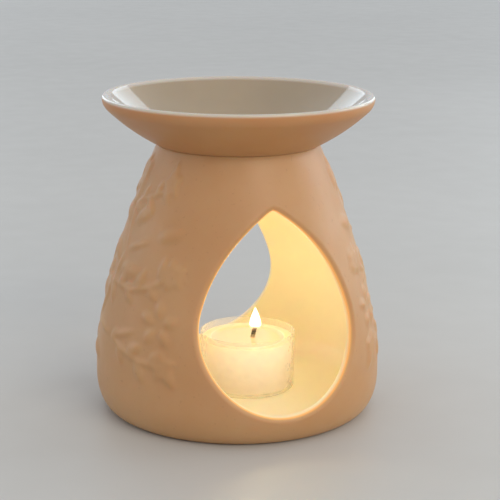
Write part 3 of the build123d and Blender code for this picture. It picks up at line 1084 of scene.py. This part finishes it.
def wax_profile(sizes):
    bottom, top = CUP_LOW.z + CUP_FLOOR, sizes.wax_level
    inner = sizes.cup_radius - sizes.cup_taper - sizes.cup_wall - WAX_GAP
    share_up = (top - CUP_LOW.z) / (CUP_HIGH.z - CUP_LOW.z)
    edge = inner + sizes.cup_taper * share_up
    pool, pool_floor = top - sizes.pool_depth, sizes.pool_radius - POOL_SLOPE
    legs = (
        ((0.0, bottom), (inner, bottom)),
        bowed((inner, bottom), (edge, top), 0.0, CUP_STEPS),
        ((edge, top), (sizes.pool_radius, top)),
        ((sizes.pool_radius, top), (pool_floor, pool)),
        bowed((pool_floor, pool), (0.0, pool), 0.0, POOL_STEPS),
    )
    return rounded(legs, (WAX_CORNER, WAX_EDGE, POOL_EDGE, POOL_CORNER))


def sustainer_profile():
    low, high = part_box("wick_sustainer")
    disc = (high.x - low.x) / 2
    top = low.z + TIN_SHEET
    corners = (
        (0.0, low.z),
        (disc, low.z),
        (disc, top),
        (TUBE_RADIUS, top),
        (TUBE_RADIUS, high.z),
        (TUBE_BORE, high.z),
        (TUBE_BORE, top),
        (0.0, top),
    )
    edges = (TIN_EDGE, TIN_EDGE, TUBE_FOOT, TIN_EDGE, TIN_EDGE, TUBE_FLOOR)
    return rounded(list(zip(corners, corners[1:])), edges, EDGE_STEPS)


def flame_profile(sizes):
    """A drop that is widest low down and runs out to a point."""
    t = np.linspace(0.0, 1.0, FLAME_STEPS + 1)
    swell = np.sin(math.pi * t**0.7) ** 0.75 * (1 - 0.5 * t) * 1.4
    swell[0] = swell[-1] = 0.0
    return np.column_stack([sizes.flame_radius * np.maximum(swell, 0.0), sizes.flame_height * t])


def wick_braid():
    """Strands wound round one another along a wick that leans over at its top."""
    graph, given, output = geometry_tree(
        "Wick Braid",
        ("Foot", "NodeSocketVector"),
        ("Bend", "NodeSocketVector"),
        ("Tip", "NodeSocketVector"),
        ("Strand Radius", "NodeSocketFloat"),
        ("Strands", "NodeSocketInt"),
        ("Turns", "NodeSocketFloat"),
        ("Material", "NodeSocketMaterial"),
    )
    line = graph.node(
        "GeometryNodeCurveQuadraticBezier",
        {"Resolution": BRAID_STEPS, "Start": given["Foot"], "Middle": given["Bend"], "End": given["Tip"]},
    )
    copies = graph.node(
        "GeometryNodeDuplicateElements",
        {"Geometry": line.outputs[0], "Amount": given["Strands"]},
        domain="SPLINE",
    )
    factor = graph.node("GeometryNodeSplineParameter").outputs["Factor"]
    phase = graph.product(copies.outputs["Duplicate Index"], 2 * math.pi)
    phase = graph.math("DIVIDE", phase, given["Strands"])
    wind = graph.math("ADD", graph.product(given["Turns"], 2 * math.pi, factor), phase)
    pull = graph.remap(factor, STRAND_END_START, 1.0, STRAND_SHARE, STRAND_END_SHARE, smooth=True)
    reach = graph.product(given["Strand Radius"], pull)
    tangent = graph.node("GeometryNodeInputTangent").outputs[0]
    sideways = graph.vector_math("NORMALIZE", graph.vector_math("CROSS_PRODUCT", tangent, (0.0, 1.0, 0.0)))
    offset = graph.vector_math(
        "ADD",
        graph.vector_math("MULTIPLY", sideways, graph.combine(*[graph.math("COSINE", wind)] * 3)),
        graph.combine(0.0, graph.math("SINE", wind), 0.0),
    )
    moved = graph.node(
        "GeometryNodeSetPosition",
        {
            "Geometry": copies.outputs["Geometry"],
            "Offset": graph.vector_math("MULTIPLY", offset, graph.combine(reach, reach, reach)),
        },
    )
    section = graph.node(
        "GeometryNodeCurvePrimitiveCircle", {"Resolution": STRAND_SIDES, "Radius": given["Strand Radius"]}
    )
    tubes = graph.node(
        "GeometryNodeCurveToMesh",
        {"Curve": moved.outputs[0], "Profile Curve": section.outputs["Curve"], "Fill Caps": True},
    )
    smooth = graph.node("GeometryNodeSetShadeSmooth", {"Geometry": tubes.outputs[0]}, domain="FACE")
    finish_tree(graph, smooth.outputs[0], given["Material"], output)
    return graph


# Finishes

# Depths of the small unevenness in each surface.
BISQUE_RIPPLE, BISQUE_GRAIN = 0.0006, 0.00012
GLAZE_RIPPLE, GLAZE_GRAIN = 0.0005, 0.0001
WAX_CRUST, CUP_WAVE, WICK_FUZZ, TIN_STREAK, FLOOR_GRAIN = 0.0004, 0.0003, 0.0002, 0.0001, 0.0004
# Where the dish's pale edge starts and is palest, below the top of its rim: partly the thin glaze's own paler
# tone, partly a painted highlight along the rim.
CREST_START, CREST_FULL = 0.0016, 0.0005
# The melt pool's soft border, and how deep below the wax's edge wax can be molten.
POOL_BORDER, POOL_REACH = 0.0014, 0.002
# The char starts below the wax's edge and is full above it, with a ragged border.
CHAR_START, CHAR_FULL, CHAR_RAGGED = 0.001, 0.0018, 0.0008
# The ember's lower and upper end, below the wick's tip.
EMBER_START, EMBER_FULL = 0.0024, 0.0004
CHAR, EMBER = (0.012, 0.009, 0.007, 1.0), (1.0, 0.2, 0.03, 1.0)
# Emission colours of painted glow on the porcelain's lips and on the wax, which are no lamps.
LIP_GLOW, WAX_GLOW = (1.0, 0.5, 0.15, 1.0), (1.0, 0.88, 0.66, 1.0)
MOLTEN_WAX = (0.74, 0.6, 0.36, 1.0)
CLEAR_PLASTIC_IOR = 1.49
# How the candle's light passes through the porcelain and through the wax.
THROUGH_PORCELAIN = {
    "Subsurface Weight": 0.5, "Subsurface Radius": (1.0, 0.54, 0.25), "Subsurface Scale": 0.006,
}
THROUGH_WAX = {"Subsurface Weight": 0.9, "Subsurface Radius": (1.0, 0.6, 0.28), "Subsurface Scale": 0.008}
FLAME_EDGE = (1.0, 0.62, 0.26, 1.0)
FLAME_BRIGHTNESS = 6.0
# The flame's colour by the share of its height.
FLAME_STOPS = (
    (0.0, (0.25, 0.2, 0.5, 1.0)),
    (0.18, (1.0, 0.6, 0.3, 1.0)),
    (0.34, (1.0, 0.94, 0.8, 1.0)),
    (0.8, (1.0, 0.93, 0.72, 1.0)),
    (1.0, (1.0, 0.62, 0.2, 1.0)),
)


def new_finish(name):
    material = bpy.data.materials.new(name)
    material.use_nodes = True
    graph = Graph(material.node_tree)
    shader = material.node_tree.nodes["Principled BSDF"]
    place = graph.node("ShaderNodeTexCoord").outputs["Object"]
    return material, graph, shader, place


def noise(graph, place, scale, detail=3.0, roughness=0.5):
    made = graph.node(
        "ShaderNodeTexNoise", {"Vector": place, "Scale": scale, "Detail": detail, "Roughness": roughness}
    )
    return made.outputs["Fac"]


def tone(base, share=1.0):
    """A colour of the settings, dimmed to a share of itself."""
    return (*(part * share for part in base[:3]), 1.0)


def blend_colours(graph, factor, first, second):
    made = graph.node("ShaderNodeMix", data_type="RGBA")
    graph.feed_all(made, {"Factor": factor, 6: first, 7: second})
    return made.outputs[2]


def bump(graph, height, strength, distance, under=None):
    made = graph.node("ShaderNodeBump", {"Height": height, "Strength": strength, "Distance": distance})
    if under is not None:
        graph.feed(made.inputs["Normal"], under)
    return made.outputs[0]


def upward_part(graph):
    """How far a surface faces upwards."""
    return graph.separate(graph.node("ShaderNodeNewGeometry").outputs["Normal"])[2]


def bisque_finish(finish):
    material, graph, shader, place = new_finish("Bisque Porcelain")
    inside = graph.node("ShaderNodeAttribute", attribute_name="inside").outputs["Fac"]
    clouds = graph.remap(noise(graph, place, 24.0, 4.0, 0.55), 0.35, 0.65)
    outer = blend_colours(graph, clouds, tone(finish.bisque), tone(finish.bisque_shade))
    specks = graph.remap(noise(graph, place, 620.0, 2.0), 0.66, 0.74, 0.0, 0.22, smooth=True)
    outer = blend_colours(graph, specks, outer, tone(finish.bisque_shade, 0.62))
    # Painted light: the chamber is painted paler than the outside, for the candle's light that fills it.
    chamber = blend_colours(graph, clouds, tone(finish.chamber), tone(finish.chamber, 0.94))
    # Painted glow: the lips take a warmer tone and a weak emission, for the candle's light shining through
    # the thin porcelain.
    lipped = blend_colours(graph, graph.remap(inside, 0.0, 0.3), outer, tone(finish.lip))
    glow = graph.remap(inside, 0.0, 0.4, 0.0, 0.3, smooth=True)
    fading = graph.remap(inside, 0.6, 1.0, 1.0, 0.0, smooth=True)
    ripple = bump(graph, noise(graph, place, 55.0, 2.0), 0.25, BISQUE_RIPPLE)
    graph.feed_all(shader, {
        "Base Color": blend_colours(graph, graph.remap(inside, 0.4, 1.0), lipped, chamber),
        "Roughness": graph.remap(noise(graph, place, 70.0), 0.3, 0.7, 0.4, 0.5),
        "Normal": bump(graph, noise(graph, place, 1900.0, 2.0), 0.12, BISQUE_GRAIN, ripple),
        "Emission Color": LIP_GLOW,
        "Emission Strength": graph.product(glow, fading),
        **THROUGH_PORCELAIN,
    })
    return material


def glaze_finish(finish):
    material, graph, shader, place = new_finish("Glazed Porcelain")
    clouds = graph.remap(noise(graph, place, 26.0), 0.35, 0.65)
    glazed = blend_colours(graph, clouds, tone(finish.glaze), tone(finish.glaze, 0.88))
    # Painted shade and glow: the bare underside takes darker, warmer tones than the body's porcelain; the
    # clouding between them is the porcelain's own.
    bare = blend_colours(graph, clouds, tone(finish.bisque_shade), tone(finish.underside_shade_and_glow))
    coated = graph.remap(upward_part(graph), 0.2, 0.6, smooth=True)
    face = blend_colours(graph, coated, bare, glazed)
    height = graph.separate(place)[2]
    # Partly painted highlight: the rim's crest is paler, for the thin glaze and for the light it catches.
    crest = graph.remap(height, DISH_HIGH.z - CREST_START, DISH_HIGH.z - CREST_FULL, 0.0, 0.8, smooth=True)
    mottle = graph.remap(noise(graph, place, 90.0), 0.3, 0.7, -0.03, 0.03)
    ripple = bump(graph, noise(graph, place, 60.0, 2.0), 0.2, GLAZE_RIPPLE)
    graph.feed_all(shader, {
        "Base Color": blend_colours(graph, crest, face, tone(finish.rim)),
        "Roughness": graph.math("ADD", graph.remap(coated, 0.0, 1.0, 0.44, 0.07), mottle),
        "Normal": bump(graph, noise(graph, place, 1900.0, 2.0), 0.05, GLAZE_GRAIN, ripple),
        "Coat Weight": coated,
        "Coat Roughness": 0.05,
        **THROUGH_PORCELAIN,
    })
    return material


def wax_finish(finish, sizes):
    material, graph, shader, place = new_finish("Candle Wax")
    x, y, z = graph.separate(place)
    from_axis = graph.vector_math("LENGTH", graph.combine(graph.math("SUBTRACT", x, TEALIGHT_AXIS.x), y, 0.0))
    pool = graph.remap(from_axis, sizes.pool_radius - POOL_BORDER, sizes.pool_radius, 1.0, 0.0, smooth=True)
    molten = graph.product(pool, graph.math("GREATER_THAN", z, sizes.wax_level - POOL_REACH))
    clouds = graph.remap(noise(graph, place, 160.0, 4.0), 0.3, 0.7)
    solid = blend_colours(graph, clouds, tone(finish.wax), tone(finish.wax, 0.97))
    crust = graph.product(noise(graph, place, 420.0), graph.math("SUBTRACT", 1.0, molten))
    # Painted glow: the wax is no lamp; its emission grows towards the wax's edge and is weaker on faces that
    # look up.
    glow = graph.remap(z, CUP_LOW.z, sizes.wax_level, 0.11, 0.42, smooth=True)
    graph.feed_all(shader, {
        "Base Color": blend_colours(graph, molten, solid, MOLTEN_WAX),
        "Roughness": graph.remap(molten, 0.0, 1.0, 0.42, 0.04),
        "Normal": bump(graph, crust, 0.06, WAX_CRUST),
        "Emission Color": WAX_GLOW,
        "Emission Strength": graph.product(glow, graph.remap(upward_part(graph), 0.0, 0.8, 1.0, 0.3)),
        **THROUGH_WAX,
    })
    return material


def cup_finish(finish):
    material, graph, shader, place = new_finish("Clear Cup")
    facing = graph.node("ShaderNodeLayerWeight", {"Blend": 0.35}).outputs["Facing"]
    haze = graph.remap(noise(graph, place, 240.0), 0.35, 0.7, 0.0, 0.05)
    graph.feed_all(shader, {
        "Base Color": blend_colours(graph, facing, tone(finish.cup), tone(finish.cup, 0.9)),
        "Alpha": graph.math("ADD", graph.remap(facing, 0.0, 1.0, 0.08, 0.55), haze),
        "Roughness": graph.remap(noise(graph, place, 90.0), 0.3, 0.7, 0.05, 0.11),
        "Normal": bump(graph, noise(graph, place, 130.0, 2.0), 0.06, CUP_WAVE),
        "IOR": CLEAR_PLASTIC_IOR,
    })
    return material


def wick_finish(finish):
    material, graph, shader, place = new_finish("Cotton Wick")
    fuzz = noise(graph, place, 2600.0)
    ragged = graph.remap(fuzz, 0.3, 0.7, -CHAR_RAGGED, CHAR_RAGGED)
    height = graph.math("ADD", graph.separate(place)[2], ragged)
    charred = graph.remap(height, WAX_HIGH.z - CHAR_START, WAX_HIGH.z + CHAR_FULL, smooth=True)
    ember = graph.remap(height, WICK_HIGH.z - EMBER_START, WICK_HIGH.z - EMBER_FULL, smooth=True)
    fibre = blend_colours(graph, fuzz, tone(finish.cotton), tone(finish.cotton, 0.7))
    graph.feed_all(shader, {
        "Base Color": blend_colours(graph, charred, fibre, CHAR),
        "Roughness": graph.remap(charred, 0.0, 1.0, 0.6, 0.9),
        "Normal": bump(graph, fuzz, 0.5, WICK_FUZZ),
        "Emission Color": EMBER,
        "Emission Strength": graph.product(ember, 1.6),
    })
    return material


def tin_finish(finish):
    material, graph, shader, place = new_finish("Tinned Steel")
    streaks = noise(graph, graph.vector_math("MULTIPLY", place, (1.0, 9.0, 1.0)), 500.0)
    graph.feed_all(shader, {
        "Base Color": blend_colours(graph, streaks, tone(finish.tin), tone(finish.tin, 0.72)),
        "Roughness": graph.remap(streaks, 0.3, 0.7, 0.24, 0.4),
        "Normal": bump(graph, streaks, 0.15, TIN_STREAK),
        "Metallic": 1.0,
    })
    return material


def flame_finish(low, high):
    material, graph, shader, place = new_finish("Candle Flame")
    height = graph.remap(graph.separate(place)[2], low, high)
    facing = graph.node("ShaderNodeLayerWeight", {"Blend": 0.45}).outputs["Facing"]
    ramp = graph.node("ShaderNodeValToRGB", {"Fac": height})
    stops = ramp.color_ramp.elements
    for stop, (position, colour_there) in zip(stops, (FLAME_STOPS[0], FLAME_STOPS[-1])):
        stop.position, stop.color = position, colour_there
    for position, colour_there in FLAME_STOPS[1:-1]:
        stops.new(position).color = colour_there
    burning = blend_colours(graph, facing, ramp.outputs["Color"], FLAME_EDGE)
    flicker = graph.remap(noise(graph, place, 260.0, 2.0), 0.3, 0.7, 0.9, 1.1)
    bright = graph.curve(height, (0, 0.03), (0.2, 0.18), (0.42, 0.85), (0.7, 1.0), (1, 0.6))
    thin = graph.curve(height, (0, 0.0), (0.2, 0.25), (0.45, 0.9), (0.8, 0.95), (1, 0.5))
    graph.feed_all(shader, {
        "Base Color": burning,
        "Emission Color": burning,
        "Emission Strength": graph.product(bright, flicker, FLAME_BRIGHTNESS),
        "Alpha": graph.product(thin, graph.remap(facing, 0.4, 1.0, 1.0, 0.15)),
        "Roughness": graph.remap(flicker, 0.9, 1.1, 0.9, 1.0),
    })
    return material


def floor_finish(finish):
    material, graph, shader, place = new_finish("Pale Floor")
    clouds = graph.remap(noise(graph, place, 5.0, 4.0), 0.3, 0.7)
    graph.feed_all(shader, {
        "Base Color": blend_colours(graph, clouds, tone(finish.floor), tone(finish.floor, 0.96)),
        "Roughness": graph.remap(noise(graph, place, 40.0), 0.3, 0.7, 0.4, 0.5),
        "Normal": bump(graph, noise(graph, place, 300.0, 2.0), 0.05, FLOOR_GRAIN),
    })
    return material


# Operators

SHARP_EDGE = math.radians(50.0)
FLOOR_REACH = 9.0
SKY, SKY_STRENGTH = (0.94, 0.97, 1.0, 1.0), 0.66
LAMP_AIM = Vector((0.0, 0.0, 0.06))
# Name, place, size, power in watts and colour of each lamp.
LAMPS = (
    ("Right Window", (1.05, 0.0, 0.34), (0.8, 0.55), 3.6, (0.84, 0.93, 1.0)),
    ("Left Window", (-0.95, 0.6, 0.3), (0.45, 0.45), 0.9, (0.88, 0.94, 1.0)),
    ("Front Fill", (0.35, -1.35, 0.9), (1.0, 0.8), 8.0, (1.0, 0.9, 0.72)),
    ("Back Window Right", (2.16, 2.08, 1.0), (1.3, 1.8), 8.0, (0.76, 0.9, 1.0)),
    ("Back Window Left", (-0.31, 2.98, 1.0), (1.3, 1.8), 8.0, (0.76, 0.9, 1.0)),
)
SENSOR_WIDTH, FOCAL_LENGTH, LENS_SHIFT = 36.0, 107.5, 0.0246


class OILBURNER_OT_body(Operator):
    """Build the moulded body with its openings and sprig relief"""

    bl_idname = "oil_burner.body"
    bl_label = "Burner Body"

    def execute(self, context):
        settings = context.scene.oil_burner
        skin = body_skin(settings.body)
        obj = new_piece("moulded_body", np.clip(skin.points, BODY_LOW, BODY_HIGH), faces=skin.faces)
        places = obj.data.attributes.new("sprig_place", "FLOAT_VECTOR", "POINT")
        places.data.foreach_set("vector", np.array(skin.places, np.float32).ravel())
        inside = obj.data.attributes.new("inside", "FLOAT", "POINT")
        inside.data.foreach_set("value", np.array(skin.inside, np.float32))
        face_outwards(obj)
        sprig = settings.sprig
        grow(
            obj,
            sprig_relief(settings.body),
            {
                "Right Sprig": frame["nodes"]["right_sprig"],
                "Left Sprig": frame["nodes"]["left_sprig"],
                "Relief Height": sprig.relief,
                "Leaf Length": sprig.leaf_length,
                "Leaf Width": sprig.leaf_width,
                "Leaf Spacing": sprig.leaf_spacing,
                "Petal Length": sprig.petal_length,
                "Petal Width": sprig.petal_width,
                "Twig Radius": sprig.twig_radius,
                "Widest": settings.body.belly_radius,
                "Softness": sprig.softness,
                "Seed": sprig.seed,
                "Material": bisque_finish(settings.finish),
            },
        )
        obj.data.shade_smooth()
        obj.data.set_sharp_from_angle(angle=SHARP_EDGE)
        seat_piece(obj, "burner", "bisque_porcelain", "burner_body", "right_sprig", "left_sprig")
        return {"FINISHED"}


class OILBURNER_OT_dish(Operator):
    """Turn the glazed dish that rests on the neck"""

    bl_idname = "oil_burner.dish"
    bl_label = "Oil Dish"

    def execute(self, context):
        settings = context.scene.oil_burner
        profile = dish_profile(settings.dish, settings.body)
        axis = (0.0, 0.0, 0.0)
        obj = turn_piece("glazed_dish", profile, axis, DISH_COLUMNS, glaze_finish(settings.finish))
        seat_piece(obj, "dish", "glazed_porcelain", "oil_dish")
        return {"FINISHED"}


class OILBURNER_OT_tealight(Operator):
    """Turn the tea light's clear cup, wax and wick sustainer"""

    bl_idname = "oil_burner.tealight"
    bl_label = "Tea Light"

    def execute(self, context):
        settings = context.scene.oil_burner
        sizes, finish = settings.tealight, settings.finish
        cup, wax, tin = cup_finish(finish), wax_finish(finish, sizes), tin_finish(finish)
        for name, profile, columns, material, slot, node in (
            ("clear_cup", cup_profile(sizes), CUP_COLUMNS, cup, "clear_plastic", "tealight_cup"),
            ("cast_wax", wax_profile(sizes), WAX_COLUMNS, wax, "wax", "tealight_wax"),
            ("tin_sustainer", sustainer_profile(), TIN_COLUMNS, tin, "tinned_steel", "wick_sustainer"),
        ):
            obj = turn_piece(name, profile, TEALIGHT_AXIS, columns, material)
            obj.visible_shadow = slot == "tinned_steel"
            seat_piece(obj, "tealight", slot, node)
        return {"FINISHED"}


class OILBURNER_OT_wick(Operator):
    """Wind the wick from its strands"""

    bl_idname = "oil_burner.wick"
    bl_label = "Wick"

    def execute(self, context):
        settings = context.scene.oil_burner
        axis = TEALIGHT_AXIS.x
        obj = new_piece("braided_wick", [(0.0, 0.0, 0.0)])
        grow(
            obj,
            wick_braid(),
            {
                "Foot": Vector((axis, 0.0, WICK_LOW.z)),
                "Bend": Vector((axis, 0.0, (WICK_LOW.z + WICK_HIGH.z) / 2)),
                "Tip": Vector((WICK_HIGH.x - WICK_RADIUS, 0.0, WICK_HIGH.z - WICK_TOP_GAP)),
                "Strand Radius": settings.tealight.strand_radius,
                "Strands": STRANDS,
                "Turns": BRAID_TURNS,
                "Material": wick_finish(settings.finish),
            },
        )
        face_outwards(obj)
        seat_piece(obj, "tealight", "cotton_wick", "wick")
        return {"FINISHED"}


class OILBURNER_OT_flame(Operator):
    """Set the flame on the wick, with the light that it gives"""

    bl_idname = "oil_burner.flame"
    bl_label = "Flame"

    def execute(self, context):
        settings = context.scene.oil_burner
        sizes = settings.tealight
        low = WICK_HIGH.z - FLAME_DROP
        axis = (WICK_HIGH.x - FLAME_BACK, 0.0, low)
        material = flame_finish(low, low + sizes.flame_height)
        obj = turn_piece("candle_flame", flame_profile(sizes), axis, FLAME_COLUMNS, material)
        obj.visible_shadow = False
        obj.visible_diffuse = False
        seat_piece(obj, "tealight", None)
        lamp = bpy.data.lights.new("Flame Light", "POINT")
        lamp.energy = sizes.flame_power
        lamp.color = settings.finish.flame[:3]
        lamp.shadow_soft_size = sizes.lamp_radius
        light = bpy.data.objects.new("Flame Light", lamp)
        context.scene.collection.objects.link(light)
        light.parent = frame["bodies"]["tealight"]
        light.location = (axis[0], 0.0, sizes.lamp_height)
        return {"FINISHED"}


class OILBURNER_OT_stage(Operator):
    """Lay the floor, hang the lights and place the camera"""

    bl_idname = "oil_burner.stage"
    bl_label = "Stage"

    def execute(self, context):
        settings = context.scene.oil_burner
        scene = context.scene
        reach = FLOOR_REACH
        corners = [(-reach, -reach, 0.0), (reach, -reach, 0.0), (reach, reach, 0.0), (-reach, reach, 0.0)]
        floor = new_piece("floor", corners, faces=[(0, 1, 2, 3)])
        floor.data.materials.append(floor_finish(settings.finish))

        world = bpy.data.worlds.new("Studio")
        world.use_nodes = True
        back = world.node_tree.nodes["Background"]
        back.inputs["Color"].default_value = SKY
        back.inputs["Strength"].default_value = SKY_STRENGTH
        scene.world = world
        for name, place, size, power, tint in LAMPS:
            lamp = bpy.data.lights.new(name, "AREA")
            lamp.shape = "RECTANGLE"
            lamp.size, lamp.size_y = size
            lamp.energy = power
            lamp.color = tint
            light = bpy.data.objects.new(name, lamp)
            light.location = place
            light.rotation_euler = (LAMP_AIM - light.location).to_track_quat("-Z", "Y").to_euler()
            scene.collection.objects.link(light)

        stage = settings.stage
        lens = bpy.data.cameras.new("Camera")
        lens.sensor_width = SENSOR_WIDTH
        lens.lens = FOCAL_LENGTH
        lens.shift_x = LENS_SHIFT
        camera = bpy.data.objects.new("Camera", lens)
        turn = stage.camera_azimuth
        camera.location = (
            math.sin(turn) * stage.camera_distance,
            -math.cos(turn) * stage.camera_distance,
            stage.camera_height,
        )
        look = Matrix.Rotation(turn, 4, "Z") @ Matrix.Rotation(math.pi / 2 - stage.camera_pitch, 4, "X")
        camera.rotation_euler = (look @ Matrix.Rotation(stage.camera_roll, 4, "Z")).to_euler()
        scene.collection.objects.link(camera)
        scene.camera = camera
        scene.view_settings.view_transform = "Standard"
        return {"FINISHED"}


class OILBURNER_PT_panel(Panel):
    """Sizes, finishes and steps of the oil burner"""

    bl_idname = "OILBURNER_PT_panel"
    bl_label = "Oil Burner"
    bl_space_type = "VIEW_3D"
    bl_region_type = "UI"
    bl_category = "Oil Burner"

    def draw(self, context):
        layout = self.layout
        settings = context.scene.oil_burner
        for step in STEPS:
            layout.operator(step.bl_idname)
        for part in settings.__annotations__:
            group = getattr(settings, part)
            box = layout.box()
            for name in group.__annotations__:
                box.prop(group, name)


STEPS = (
    OILBURNER_OT_body,
    OILBURNER_OT_dish,
    OILBURNER_OT_tealight,
    OILBURNER_OT_wick,
    OILBURNER_OT_flame,
    OILBURNER_OT_stage,
)
CLASSES = (
    BurnerBodySizes,
    SprigSizes,
    DishSizes,
    TealightSizes,
    BurnerFinish,
    StageSettings,
    BurnerSettings,
    *STEPS,
    OILBURNER_PT_panel,
)


def register():
    for cls in CLASSES:
        bpy.utils.register_class(cls)
    bpy.types.Scene.oil_burner = PointerProperty(type=BurnerSettings)


def unregister():
    del bpy.types.Scene.oil_burner
    for cls in reversed(CLASSES):
        bpy.utils.unregister_class(cls)


def main():
    register()
    bpy.ops.oil_burner.body()
    bpy.ops.oil_burner.dish()
    bpy.ops.oil_burner.tealight()
    bpy.ops.oil_burner.wick()
    bpy.ops.oil_burner.flame()
    bpy.ops.oil_burner.stage()


if __name__ == "__main__":
    main()
